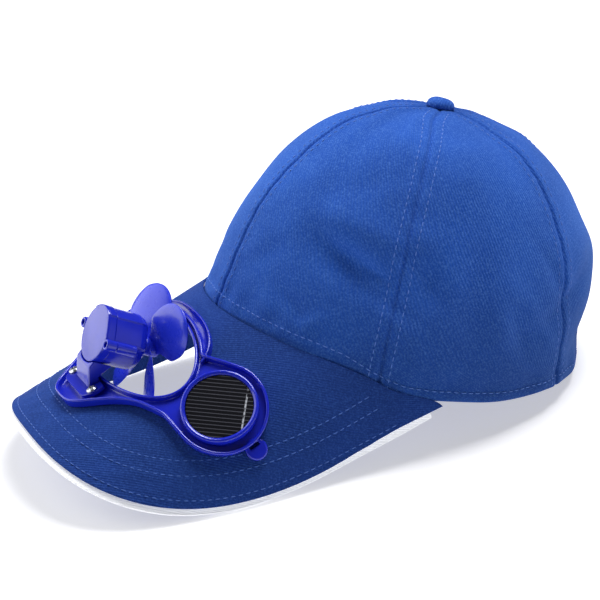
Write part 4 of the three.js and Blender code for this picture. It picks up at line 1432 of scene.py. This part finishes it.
@dataclass
class Brim:
    """The brim's three layers of cloth and its rows of stitches."""

    top_inset: float = 2.8
    under_inset: float = 0.8
    layer: float = 1.0
    gap: float = 0.3
    wall_gap: float = 0.3
    hole_grow: float = 1.7
    corner_pull: float = 0.5
    spans: int = 46
    stitch_rows: tuple[float, ...] = (3.4, 13.5, 20.0)

    def sheet(self, inset: float, high: float, bulge: float) -> Form:
        """One layer: a flat section with a round outer edge, carried round the hole.

        Args:
            inset: How far in from the brim's edge the layer ends.
            high: The height of its upper face.
            bulge: How far its round edge stands above and below its faces.

        Returns:
            The closed layer.
        """
        low = high - self.layer
        outer = SHEET.outline(inset, self.wall_gap, low)
        across, ahead = outer.T
        room = ahead - SHEET.inner_edge(across, low, self.wall_gap)
        pull = self.corner_pull * inset * smoothstep(-ahead, -5.0, 25.0) * smoothstep(room, 0.5, 8.0)
        outer = np.stack([across - np.sign(across) * pull, ahead], axis=1)
        inner = oval(unit(outer - HOLE_CENTRE), HOLE_HALF + self.hole_grow)
        angle = np.linspace(-0.5, 0.5, 7) * math.pi
        radius = self.layer / 2.0 + bulge
        middle = (high + low) / 2.0
        rim = [[0.0, radius * (1.0 - math.cos(a)), 0.0, middle + radius * math.sin(a)] for a in angle]
        settle = [[0.0, radius + 1.4 * bulge, 0.0, high], [1.0, 0.0, 0.0, high]]
        under = [[1.0, 0.0, 0.0, low], [0.0, radius + 1.4 * bulge, 0.0, low]]
        return ring_body(outer, inner, np.array(rim + settle + under), self.spans)

    def waved(self, form: Form) -> Form:
        """Adds slow waves and, near the outer stitch row, fine puckers to a layer.

        Args:
            form: The layer.

        Returns:
            The same layer, moved.
        """
        across, ahead = form.flat.T
        edge = SHEET.outer_edge(across, self.top_inset) - ahead
        wave = 0.175 * np.sin(across / 15.0 + ahead / 21.0) * np.sin(ahead / 17.0 - across / 37.0)
        pucker = 0.16 * np.sin((across + ahead * 0.6) / 2.1) * bell(edge - 13.0, 6.0)
        first, second, third = self.stitch_rows
        rows = -0.14 * (bell(edge - second, 0.9) + bell(edge - third, 0.9) + bell(edge - first, 0.8))
        _, axes = SHEET.frame(0.0, 50.0, 0.0)
        form.points = form.points + axes[2] * (wave + pucker + rows)[:, None]
        return form

    def stitches(self) -> Form:
        """Rows of stitches that follow the brim's edge, at the distances from it that the photograph shows.

        Returns:
            All the strands.
        """
        stitching = Stitching(length=2.9, gap=0.6)
        swing = np.linspace(-0.5, 0.5, 900) * math.pi
        rows = []
        for reach in self.stitch_rows:
            across = (SHEET.half_width - self.top_inset - reach) * np.sin(swing) * SHEET.corner
            edge = SHEET.outer_edge(across, self.top_inset + reach)
            keep = edge > SHEET.inner_edge(across, 0.0, self.wall_gap) + 1.5
            across, edge = across[keep], edge[keep]
            height = np.full_like(across, -0.1)
            path = SHEET.point(across, edge, height)
            rows.append(stitching.row(path, unit(SHEET.point(across, edge, height + 1.0) - path)))
        return joined(rows)

    def dress(self, palette: Palette) -> None:
        """Makes the brim's pieces.

        Args:
            palette: Every finish.
        """
        middle = -self.layer - self.gap
        under = middle - self.layer - self.gap
        top = self.waved(self.sheet(self.top_inset, 0.0, 0.12))
        make_piece("brim_upper_cloth", top, palette.brim_twill, nodes=("brim_top",),
                   sharp=75.0)
        make_piece("brim_white_edge", self.sheet(0.0, middle, 0.16), palette.white_twill,
                   nodes=("brim_sandwich",), sharp=75.0)
        make_piece("brim_under_cloth", self.sheet(self.under_inset, under, 0.1), palette.brim_twill,
                   nodes=("brim_under",), sharp=75.0)
        make_piece("brim_stitches", self.stitches(), palette.brim_thread)


# Fan unit


@dataclass
class FanTray:
    """The moulded tray round the fan's hole: collar, floor, lip, nose, lobes, saucer and ears."""

    seat: float = 0.45
    floor: float = 1.4
    wall: float = 1.5
    height: float = 5.0
    nose_reach: float = 86.0
    collar_wall: float = 1.4
    channel: float = 1.1
    collar_height: float = 4.6
    collar_depth: float = 5.0
    lobe_radius: float = 21.8
    lobe_spread: float = 58.8
    lobe_reach: float = 32.3
    lobe_back: float = math.radians(108)
    shoulder: float = math.radians(40.5)
    saucer_half: Span = (36.0, 24.6)
    saucer_reach: float = 36.0
    saucer_wall: float = 1.0
    saucer_height: float = 4.4
    saucer_roundness: float = 2.6
    ear_radius: float = 5.0
    ear_offset: float = 24.0
    ear_setback: float = 3.0
    ear_wall: float = 2.2
    slot_half: Span = (0.9, 2.5)
    slot_setback: float = 1.7
    smoothing: float = 1.3
    ray_count: int = 4000
    line_steps: int = 600
    nose: tuple[tuple[float, float], ...] = (
        (0.00, 1.000), (0.13, 0.990), (0.22, 0.950), (0.31, 0.880), (0.45, 0.775), (0.60, 0.700),
        (0.80, 0.640),
    )

    def reach(self, angle: Array, points: Array) -> Array:
        """How far out from the hole's centre a line of points stands at each angle, or 0 beyond its ends.

        Args:
            angle: The angles, in radians.
            points: The line, across and forward.

        Returns:
            The distances.
        """
        away = points - HOLE_CENTRE
        turn = np.arctan2(away[:, 1], away[:, 0])
        order = np.argsort(turn)
        return np.interp(angle, turn[order], np.hypot(*away[order].T), left=0.0, right=0.0)

    def outline(self) -> Array:
        """The tray's outline: at each angle the farthest of ring, nose, lobes and shoulders, smoothed.

        The smoothing is a weighted mean along the outline, with weights exp(-(d / smoothing)^2).

        Returns:
            Rows of distances across and forward.
        """
        angle = np.linspace(-math.pi, math.pi, self.ray_count, endpoint=False)
        ray = rays(angle)
        ring = self.collar_wall + self.channel + self.wall
        far = np.hypot(*(oval(ray, HOLE_HALF + ring) - HOLE_CENTRE).T)
        half = np.array(self.nose) * [self.lobe_spread, self.nose_reach]
        whole = np.vstack([half[:0:-1] * [-1, 1], half])
        curve = through(whole, np.linspace(0.0, 1.0, 400))
        front = self.lobe_reach + self.lobe_radius
        nose = np.vstack([[-self.lobe_spread, front], curve, [self.lobe_spread, front]])
        t = np.linspace(0.0, 1.0, self.line_steps)
        nose = np.stack([np.interp(t, np.linspace(0, 1, len(nose)), axis) for axis in nose.T], axis=1)
        far = np.maximum(far, self.reach(angle, nose))
        for side in Side:
            centre = np.array([side.value * self.lobe_spread, self.lobe_reach]) - HOLE_CENTRE
            ahead = ray @ centre
            inside = self.lobe_radius**2 - centre @ centre + ahead**2
            meets = (inside > 0) & (ahead > 0)
            far = np.maximum(far, np.where(meets, ahead + np.sqrt(np.abs(inside)), 0.0))
            corner = (HOLE_HALF + ring) * [math.cos(self.shoulder), -math.sin(self.shoulder)]
            back = [self.lobe_spread + self.lobe_radius * math.cos(self.lobe_back),
                    self.lobe_reach - self.lobe_radius * math.sin(self.lobe_back)]
            line = (corner + HOLE_CENTRE) + (np.array(back) - corner - HOLE_CENTRE) * t[:, None]
            far = np.maximum(far, self.reach(angle, line * [side.value, 1.0]))
        fine, length = along(HOLE_CENTRE + ray * far[:, None], 0.25, True)
        step = length / len(fine)
        offsets = np.arange(-20, 21)
        weight = bell(offsets * step, self.smoothing)
        smooth = sum(np.roll(fine, k, axis=0) * w for k, w in zip(offsets, weight)) / weight.sum()
        return along(smooth, 0.9, True)[0]

    def body(self) -> Form:
        """The tray's main body: lip, floor and collar as one section carried round the hole.

        Returns:
            The closed body.
        """
        outer = self.outline()
        inner = oval(unit(outer - HOLE_CENTRE), HOLE_HALF)
        top, half, fillet = self.seat + self.floor, self.wall / 2.0, 0.5
        arc, quarter = np.linspace(0.0, math.pi, 7), np.linspace(0.0, math.pi / 2, 4)
        lip = [[0, half * (1 - math.cos(a)), 0, self.height - half + half * math.sin(a)] for a in arc]
        base = [[0, self.wall + fillet * (1 - math.cos(a)), 0, top + fillet * (1 - math.sin(a))]
                for a in quarter]
        half = self.collar_wall / 2.0
        foot = [[1, 0, self.collar_wall + fillet * (1 - math.sin(a)), top + fillet * (1 - math.cos(a))]
                for a in quarter]
        crest = [[1, 0, half * (1 + math.cos(a)), self.collar_height - half + half * math.sin(a)]
                 for a in arc]
        low = [[1, 0, 0, -self.collar_depth + 0.4], [1, 0, 0.4, -self.collar_depth],
               [1, 0, self.collar_wall - 0.4, -self.collar_depth],
               [1, 0, self.collar_wall, -self.collar_depth + 0.4],
               [1, 0, self.collar_wall, self.seat], [0, 0.4, 0, self.seat], [0, 0, 0, self.seat + 0.4]]
        return ring_body(outer, inner, np.array(lip + base + foot + crest + low, float), 12)

    def saucer(self) -> Form:
        """The saucer behind the hole: a floor and a thin rim between the tray's ring and an outer curve.

        The outer curve is |x|^n + |y|^n = 1, and each section runs from the ring out to it.

        Returns:
            The closed saucer.
        """
        t = np.linspace(0.0, TURN, 900)
        power = 2.0 / self.saucer_roundness
        c, s = np.cos(t), np.sin(t)
        curve = np.stack([
            self.saucer_half[0] * np.sign(c) * np.abs(c) ** power,
            self.saucer_reach + self.saucer_half[1] * np.sign(s) * np.abs(s) ** power,
        ], axis=1)
        ring = self.collar_wall + self.channel + self.wall
        angle = np.linspace(-math.pi, 0.0, 1201)
        ray = rays(angle)
        near = np.hypot(*(oval(ray, HOLE_HALF + ring) - HOLE_CENTRE).T)
        far = self.reach(angle, curve)
        keep = far > near - 0.6
        fine = HOLE_CENTRE + ray[keep] * far[keep][:, None]
        outer, _ = along(fine, 0.8)
        direction = unit(outer - HOLE_CENTRE)
        inner = oval(direction, HOLE_HALF + ring - self.wall * 0.6)
        top, half = self.seat + self.floor, self.saucer_wall / 2.0
        rows = [[0, 0, self.seat], [0, 0, self.saucer_height - half]]
        rows += [[0, half * (1 - math.cos(a)), self.saucer_height - half + half * math.sin(a)]
                 for a in np.linspace(0.3, math.pi, 6)]
        rows += [[0, self.saucer_wall, top + 2.0], [0, self.saucer_wall + 0.5, top + 1.0],
                 [0, self.saucer_wall + 1.6, top + 0.3], [0, self.saucer_wall + 3.0, top],
                 [1, 0, top], [1, 0, self.seat]]
        share, pull, height = (column[None, :, None] for column in np.array(rows, float).T)
        width = np.linalg.norm(outer - inner, axis=1)[:, None, None]
        flat = outer[:, None] - direction[:, None] * np.minimum(pull, width * 0.9)
        flat = flat * (1.0 - share) + inner[:, None] * share
        level = np.broadcast_to(height[..., 0], flat.shape[:2])
        points = SHEET.point(flat[..., 0], flat[..., 1], level)
        return loops(points, False, flat)

    def ear(self, side: Side) -> Form:
        """An ear tab: a round plate with a slot.

        Args:
            side: The wearer's side.

        Returns:
            The closed tab.
        """
        angle = np.arange(64) * TURN / 64
        spread = self.lobe_spread + self.ear_offset
        centre = np.array([side.value * spread, self.lobe_reach - self.ear_setback])
        ray = rays(angle)
        outer = centre + ray * self.ear_radius
        power = 2.0 / 5.0
        slot = np.sign(ray) * np.abs(ray) ** power * np.array(self.slot_half)
        inner = centre - [side.value * self.slot_setback, 0.0] + slot
        low, high = self.seat, self.seat + self.ear_wall
        section = [[0, 0, 0, high - 0.8], [0, 0.25, 0, high - 0.25], [0, 0.8, 0, high], [1, 0, 0.3, high],
                   [1, 0, 0, high - 0.3], [1, 0, 0, low], [0, 0.3, 0, low], [0, 0, 0, low + 0.3]]
        return ring_body(outer, inner, np.array(section, float), 4)

    def dress(self, palette: Palette) -> None:
        """Makes the tray."""
        whole = joined([self.body(), self.saucer(), *(self.ear(side) for side in Side)])
        make_piece("moulded_fan_tray", whole, palette.plastic, nodes=("fan_tray",),
                   sharp=46.0)


def placed(form: Form, spot: Array, axes: Array) -> Form:
    """A form moved from its own frame: spot plus x, y and z along three axes given as rows."""
    return Form(spot + form.points @ axes, form.faces, form.flat)


@dataclass
class SolarCells:
    """A bezel and a cell on each of the tray's lobes."""

    seat: float = 2.15
    spread: float = 58.8
    reach: float = 32.3
    cell_radius: float = 15.3
    cell_low: float = 1.0
    cell_wall: float = 1.4
    finger_turn: float = math.radians(48.0)

    def bezel(self) -> Form:
        """The bezel: a ring whose crest falls gently inwards and steeply outwards.

        Returns:
            The closed ring, on its own axis.
        """
        inner, crest, outer = self.cell_radius + 0.2, 16.7, 17.6
        corners = [
            (inner, 0.3), (inner, 2.9), (inner + 0.5, 3.25), (crest, 3.6), (outer, 3.15),
            (outer + 0.25, 1.2), (outer + 0.25, 0.0), (inner - 2.4, 0.0), (inner - 2.4, 0.3),
        ]
        return turned(rounded(corners, 0.42), 96)

    def cell(self, side: Side) -> Form:
        """The cell: a flat disc with a rounded edge, with coordinates along and across its fingers.

        Args:
            side: The wearer's side.

        Returns:
            The closed disc, on its own axis.
        """
        low, high, edge = self.cell_low, self.cell_low + self.cell_wall, 0.3
        profile = np.array([
            [0, low], [self.cell_radius, low], [self.cell_radius, high - edge],
            [self.cell_radius - edge * 0.3, high - edge * 0.3], [self.cell_radius - edge, high], [0, high],
        ])
        form = turned(profile, 96)
        x, y = form.points[:, 0] * side.value, form.points[:, 1]
        c, s = math.cos(self.finger_turn), math.sin(self.finger_turn)
        form.flat = np.stack([-x * c - y * s, x * s - y * c], axis=1)
        return form

    def dress(self, palette: Palette) -> None:
        """Makes both bezels and both cells.

        Args:
            palette: Every finish.
        """
        for side in Side:
            word = side.name.lower()
            spot, axes = SHEET.frame(side.value * self.spread, self.reach, self.seat)
            make_piece(f"moulded_bezel_{word}", placed(self.bezel(), spot, axes), palette.plastic,
                       nodes=(f"bezel_{word}",))
            make_piece(f"silicon_cell_{word}", placed(self.cell(side), spot, axes), palette.cell,
                       nodes=(f"solar_cell_{word}",), sharp=30.0)


@dataclass
class Motor:
    """The motor on its bracket, with two screws. Its own frame has Z along the shaft, out of its cap."""

    tilt: float = math.radians(48.6)
    reach: float = 57.8
    rise: float = 21.7
    radius: float = 13.0
    length: float = 22.5
    cap_length: float = 4.6
    cap_lip: float = 0.4
    gap: float = 0.3
    boss_radius: float = 2.6
    boss_hole: float = 1.4
    boss_spread: float = 15.2
    boss_length: float = 10.0
    band_rise: float = 0.55
    band_turns: Span = (58.0, 132.0)
    flank_turns: Span = (9.0, 57.0)
    flank_share: float = 0.75
    foot_low: float = 2.15
    foot_wall: float = 1.8
    foot_back: float = 67.5
    foot_length: float = 11.0
    foot_front_half: float = 12.0
    foot_back_half: float = 15.0
    post_half: float = 8.6
    post_length: float = 6.4
    post_low: float = 5.2
    screw_radius: float = 2.5
    screw_height: float = 1.5
    screw_spread: float = 12.2

    def frame(self) -> tuple[Array, Array]:
        """The motor's place and axes in the cap's frame: the brim's own axes turned about X by tilt - 90.

        Returns:
            The place, and the three axes as rows.
        """
        base, axes = SHEET.frame(0.0, self.reach, 0.0)
        c, s = math.cos(self.tilt - math.pi / 2), math.sin(self.tilt - math.pi / 2)
        turned_axes = np.stack([axes[0], axes[1] * c + axes[2] * s, axes[2] * c - axes[1] * s])
        return base + axes[2] * self.rise, turned_axes

    def shell(self, front: float, back: float, radius: float, chamfers: Span) -> Form:
        """A cylinder with softened ends, a raised band along its upper side and a flattened near flank.

        The band adds band_rise to the radius over its turns from the near boss. The flank takes flank_share
        of the way to the chord R cos(h) / cos(a - m), where m is its middle turn and h half its width.

        Args:
            front: Where its front end is along the shaft.
            back: Where its back end is.
            radius: Its radius.
            chamfers: How much its two ends are softened.

        Returns:
            The closed cylinder.
        """
        first, last = chamfers
        profile = [(0.0, back), (radius - last, back), (radius - last * 0.3, back + last * 0.45),
                   (radius, back + last * 1.3), (radius, back + last * 1.3 + 0.3)]
        levels = np.linspace(back + last * 1.3 + 0.8, front - first * 1.2, 4)
        profile += [(radius, level) for level in levels]
        profile += [(radius - first * 0.3, front - first * 0.3), (radius - first, front), (0.0, front)]
        segments = 180
        above = (np.degrees(np.arange(segments) * TURN / segments) - 180.0) % 360.0
        low, high = self.band_turns
        band = smoothstep(above, low, low + 2.5) * (1.0 - smoothstep(above, high - 2.5, high))
        low, high = self.flank_turns
        middle, half = math.radians(low + high) / 2.0, math.radians(high - low) / 2.0
        away = np.clip(np.radians(above) - middle, -half, half)
        flank = (1.0 - math.cos(half) / np.cos(away)) * self.flank_share
        return turned(np.array(profile), segments, 1.0 + band * self.band_rise / radius - flank)

    def boss(self, side: int, front: float, back: float) -> Form:
        """A screw boss: a tube with a rounded mouth and a closed bottom.

        Args:
            side: The side, as the sign of the motor's own x.
            front: Where its mouth is along the shaft.
            back: Where its bottom is.

        Returns:
            The closed tube.
        """
        corners = [
            (0, back), (self.boss_radius, back), (self.boss_radius, front - 0.4),
            (self.boss_radius - 0.4, front), (self.boss_hole + 0.3, front), (self.boss_hole, front - 0.3),
            (self.boss_hole, back + 1.5), (0, back + 1.5),
        ]
        form = turned(np.array(corners, float), 36)
        form.points = form.points + [side * self.boss_spread, 0.0, 0.0]
        return form

    def cap(self) -> Form:
        """The motor's cap: a flat round face with a soft edge and a boss on each side."""
        face = self.shell(0.0, -self.cap_length, self.radius + self.cap_lip, (0.9, 0.15))
        return joined([face, *(self.boss(side, 0.2, -self.cap_length) for side in (-1, 1))])

    def housing(self) -> Form:
        """The motor's housing, with the bosses' lower halves and a bearing collar at its back.

        Returns:
            The joined form.
        """
        front, end = -self.cap_length - self.gap, -self.length
        shell = self.shell(front, end, self.radius, (0.15, 3.0))
        collar = [[0, end - 1.1], [3.2, end - 1.1], [3.7, end - 0.7], [3.8, end + 0.5], [0, end + 0.5]]
        bosses = [self.boss(side, front, front - self.boss_length) for side in (-1, 1)]
        return joined([shell, turned(np.array(collar), 48), *bosses])

    def post(self, low: float) -> Form:
        """The post under the motor, its top hollowed to the motor's round.

        The motor's axis runs forward and up. At a distance x to the side, the hollow is the line that lies
        sqrt(R^2 - x^2) under the axis, and the post's front and lower edges end where they meet it.

        Args:
            low: The height at which the post stands in the foot.

        Returns:
            The closed post.
        """
        under = np.array([math.cos(self.tilt - math.pi / 2), math.sin(self.tilt - math.pi / 2)])
        axis = np.array([self.reach, self.rise])
        foot, toe = np.array([self.foot_back, low]), np.array([self.foot_back + self.post_length, low])
        brow = axis + self.radius * np.array([0.85, -0.70])
        crest = axis + self.radius * np.array([0.40, -0.50])
        heel = np.array([self.foot_back, self.post_low])
        wing = np.array([self.reach, self.post_low + 1.8])
        half, bevel, inner = self.post_half, 0.8, 13
        reach = np.concatenate([
            [-half, -half + bevel * 0.3], np.linspace(-half + bevel, half - bevel, inner),
            [half - bevel * 0.3, half],
        ])
        draw = np.concatenate([[bevel, bevel * 0.3], np.zeros(inner), [bevel * 0.3, bevel]])
        sections = []
        for x, pull in zip(reach, draw):
            depth = math.sqrt((self.radius + self.cap_lip + self.gap) ** 2 - x * x)
            ends = []
            for start, end in ((brow, crest), (heel, wing)):
                near, far = (start - axis) @ under, (end - axis) @ under
                share = min(1.0, max(0.0, (near - depth) / (near - far)))
                ends.append(start + (end - start) * share)
            outline = rounded([foot, toe, brow, ends[0], ends[1], heel], 0.7)
            outline = outline - unit(outline - outline.mean(axis=0)) * pull
            sections.append(np.column_stack([np.full(len(outline), x), outline]))
        return loops(np.array(sections), False)

    def bracket(self) -> Form:
        """The bracket: a foot plate, and a post on it whose top is a saddle under the motor.

        Returns:
            The joined form, in the brim's own axes.
        """
        front, top = self.foot_back + self.foot_length, self.foot_low + self.foot_wall
        form = self.post(top - 0.8)
        outline = rounded([
            (-self.foot_back_half, self.foot_back), (self.foot_back_half, self.foot_back),
            (self.foot_back_half, self.foot_back + self.foot_length * 0.55), (self.foot_front_half, front),
            (-self.foot_front_half, front), (-self.foot_back_half, self.foot_back + self.foot_length * 0.55),
        ], 2.0)
        middle = outline.mean(axis=0)
        levels = np.array([self.foot_low, top - 0.5, top - 0.15, top])
        draw = np.array([0.0, 0.0, 0.15, 0.5])
        plate = outline[None] - unit(outline - middle)[None] * draw[:, None, None]
        z = np.broadcast_to(levels[:, None], plate.shape[:2])
        return form.add(loops(np.stack([plate[..., 0], plate[..., 1], z], axis=-1), False))

    def screw(self) -> Form:
        """A pan head, 1 - (r/R)^2.4 high over a straight edge, less two crossed grooves.

        Returns:
            The closed head, on its own axis.
        """
        share = np.linspace(0.0, 1.0, 22)[1:]
        radius = share * self.screw_radius
        level = self.screw_height * (0.42 + 0.58 * (1.0 - share**2.4))
        profile = np.vstack([
            [0.0, 0.0], [self.screw_radius * 0.96, 0.0], np.stack([radius, level], axis=1)[::-1],
            [0.0, self.screw_height],
        ])
        form = turned(profile, 64)
        x, y, z = form.points.T
        arm = np.minimum(np.abs(x), np.abs(y))
        cross = (1.0 - smoothstep(arm, 0.3, 0.5)) * (1.0 - smoothstep(np.hypot(x, y), 1.4, 1.65))
        form.points = np.stack([x, y, np.where(z > 0.1, z - 0.75 * cross, z)], axis=1)
        return form

    def dress(self, palette: Palette) -> None:
        """Makes the motor, its bracket and its screws.

        Args:
            palette: Every finish.
        """
        spot, axes = self.frame()
        make_piece("motor_end_cap", placed(self.cap(), spot, axes), palette.plastic,
                   nodes=("motor_cap",), sharp=40.0)
        make_piece("motor_shell", placed(self.housing(), spot, axes), palette.plastic,
                   nodes=("motor_housing",), sharp=40.0)
        base, flat = SHEET.frame(0.0, 0.0, 0.0)
        make_piece("motor_saddle_bracket", placed(self.bracket(), base, flat), palette.plastic,
                   nodes=("motor_bracket",), sharp=40.0)
        for side, word in ((-1, "left"), (1, "right")):
            height = self.foot_low + self.foot_wall + self.gap * 0.2
            ahead = self.foot_back + self.foot_length / 2.0
            place = base + np.array([side * self.screw_spread, ahead, height]) @ flat
            make_piece(f"cross_head_screw_{word}", placed(self.screw(), place, flat), palette.steel,
                       nodes=(f"bracket_screw_{word}",), sharp=35.0)


@dataclass
class Fan:
    """The four-bladed fan, in the motor's frame."""

    hub_radius: float = 4.2
    hub_length: float = 8.0
    setback: float = 3.0
    blades: int = 4
    tip: float = 33.0
    width: float = 26.0
    thickness: float = 1.1
    pitch: float = math.radians(-18)
    phase: float = math.radians(43)
    root: float = 2.3
    widest: float = 0.58
    root_twist: float = 1.6
    tip_twist: float = 0.85
    neck: float = 4.6
    camber: float = 2.0

    def blade(self, angle: float, centre: float) -> Form:
        """One blade as closed sections from root to tip.

        A section is an oval, half a chord wide and half a thickness high, turned by the pitch. The chord is
        a petal, sqrt(1 - a^2) of the width, drawn in to a neck at the root, and the section is bowed by the
        camber times 1 - c^2.

        Args:
            angle: Its angle about the shaft.
            centre: Where its middle is along the shaft.

        Returns:
            The closed blade.
        """
        tip = 1.0 - 0.1 * np.cos(np.linspace(0.1, 0.5, 14) * math.pi)
        u = np.concatenate([np.linspace(0.0, 0.9, 26), tip])
        out = self.root + (self.tip - self.root) * u
        side = np.where(u < self.widest, self.widest / 0.807, 1.0 - self.widest)
        petal = (self.width / 2.0) * np.sqrt(np.clip(1.0 - ((u - self.widest) / side) ** 2, 0.0, 1.0))
        draw = smoothstep(u, 0.0, 0.3)
        half = np.maximum(self.neck * (1.0 - draw) + petal * draw, 0.05)
        loop = np.arange(28) * TURN / 28
        chord = half[:, None] * np.cos(loop)
        thin = (self.thickness / 2.0) * np.minimum(1.0, half / 2.0)[:, None]
        rise = thin * np.sin(loop) * np.abs(np.sin(loop)) ** -0.35 * (np.abs(np.sin(loop)) > 1e-9)
        full = (half / half.max() * smoothstep(u, 0.05, 0.4))[:, None]
        bow = self.camber * (1.0 - np.cos(loop) ** 2) * full
        pitch = (self.pitch * (self.root_twist + (self.tip_twist - self.root_twist) * u))[:, None]
        forward, lift = chord * np.cos(pitch), chord * np.sin(pitch) + rise + bow
        radial = np.array([-math.sin(angle), math.cos(angle), 0.0])
        across = np.array([math.cos(angle), math.sin(angle), 0.0])
        points = (
            radial * out[:, None, None] + across * forward[..., None]
            + np.array([0.0, 0.0, 1.0]) * (centre + lift)[..., None]
        )
        return loops(points, False)

    def rotor(self, motor: Motor) -> Form:
        """The hub and its blades.

        Args:
            motor: The motor that it hangs from.

        Returns:
            The joined form, in the motor's frame.
        """
        front = -motor.length - self.setback
        back = front - self.hub_length
        radius, middle = self.hub_radius, (front + back) / 2.0
        corners = [
            (0.0, back), (radius - 1.2, back), (radius - 0.3, back + 0.5), (radius, back + 1.6),
            (radius, front - 0.5), (radius - 0.5, front), (1.3, front), (1.3, back + 2.7), (0.0, back + 2.7),
        ]
        turns = self.phase + np.arange(self.blades) * TURN / self.blades
        return joined([turned(np.array(corners), 56), *(self.blade(turn, middle) for turn in turns)])

    def dress(self, palette: Palette, motor: Motor) -> None:
        """Makes the rotor, which rides on the fan's body, and gives the shaft its steel.

        Args:
            palette: Every finish.
            motor: The motor that it hangs from.
        """
        spot, axes = motor.frame()
        make_piece("fan_blades_and_hub", placed(self.rotor(motor), spot, axes), palette.fan_plastic,
                   Body.FAN, ("fan_rotor",), sharp=45.0)
        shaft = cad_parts["motor_shaft"]
        shaft.data.materials.clear()
        shaft.data.materials.append(palette.steel)


# Studio


@dataclass
class Lamp:
    """One soft lamp: the direction it shines from, how far away it is, its size and its power."""

    name: str
    toward: tuple[float, float, float]
    away: float
    size: float
    power: float


@dataclass
class Studio:
    """The camera at the photograph's angle, the floor and the soft lights."""

    place: tuple[float, float, float] = (770.214, -477.191, 258.943)
    right: tuple[float, float, float] = (0.426374, 0.887077, 0.176916)
    up: tuple[float, float, float] = (-0.329840, -0.029645, 0.943571)
    view: float = math.radians(17.9453)
    floor_half: float = 9.0
    aim: tuple[float, float, float] = (0.0, 0.0, 0.06)
    world: float = 0.07
    lamps: tuple[Lamp, ...] = (
        Lamp("key_softbox", (-0.16, 0.36, 0.92), 1.6, 0.9, 32.0),
        Lamp("front_panel", (-0.58, -0.68, 0.46), 1.5, 1.6, 18.0),
        Lamp("side_fill", (0.75, 0.60, 0.35), 1.9, 1.0, 1.2),
    )

    def pose(self, item: bpy.types.Object, spot: Array, right: Array, up: Array) -> None:
        """Puts a camera or lamp at a spot, looking against the cross product of right and up.

        Args:
            item: The camera or lamp.
            spot: Its place in metres.
            right: Its right-hand direction.
            up: Its upward direction.
        """
        matrix = np.eye(4)
        matrix[:3] = np.column_stack([right, up, np.cross(right, up), spot])
        item.matrix_world = Matrix(matrix.tolist())

    def build(self, palette: Palette) -> None:
        """Makes the camera, the floor, the world's light and the lamps.

        Args:
            palette: Every finish.
        """
        scene = bpy.context.scene
        camera = bpy.data.objects.new("photo_camera", bpy.data.cameras.new("photo_camera"))
        camera.data.sensor_fit = "HORIZONTAL"
        camera.data.angle = self.view
        camera.data.clip_end = 50.0
        scene.collection.objects.link(camera)
        right, up = (REST.turn(np.array(axis)) for axis in (self.right, self.up))
        self.pose(camera, REST.seat(np.array(self.place)) * METRES, right, up)
        scene.camera = camera

        half = self.floor_half
        mesh = bpy.data.meshes.new("floor")
        corners = [(-half, -half, 0), (half, -half, 0), (half, half, 0), (-half, half, 0)]
        mesh.from_pydata(corners, [], [(0, 1, 2, 3)])
        mesh.materials.append(palette.paper)
        floor = bpy.data.objects.new("floor", mesh)
        scene.collection.objects.link(floor)

        world = bpy.data.worlds.new("white_studio")
        world.use_nodes = True
        sky = world.node_tree.nodes["Background"].inputs
        sky["Color"].default_value = linear("#ffffff")
        sky["Strength"].default_value = self.world
        scene.world = world
        scene.view_settings.view_transform = "Standard"
        scene.view_settings.look = "None"

        aim = np.array(self.aim)
        for lamp in self.lamps:
            light = bpy.data.lights.new(lamp.name, "AREA")
            light.shape, light.size, light.energy = "SQUARE", lamp.size, lamp.power
            item = bpy.data.objects.new(lamp.name, light)
            scene.collection.objects.link(item)
            toward = unit(np.array(lamp.toward))
            spot = aim + toward * lamp.away
            side = unit(np.cross(np.array([0.0, 0.0, 1.0]), toward))
            self.pose(item, spot, side, np.cross(toward, side))


def main() -> None:
    """Builds the cap, the fan unit and the studio."""
    logging.basicConfig(level=logging.INFO, format="%(message)s")
    palette = Palette.make()
    Crown().dress(palette)
    Brim().dress(palette)
    FanTray().dress(palette)
    SolarCells().dress(palette)
    motor = Motor()
    motor.dress(palette)
    Fan().dress(palette, motor)
    Studio().build(palette)


if __name__ == "__main__":
    main()
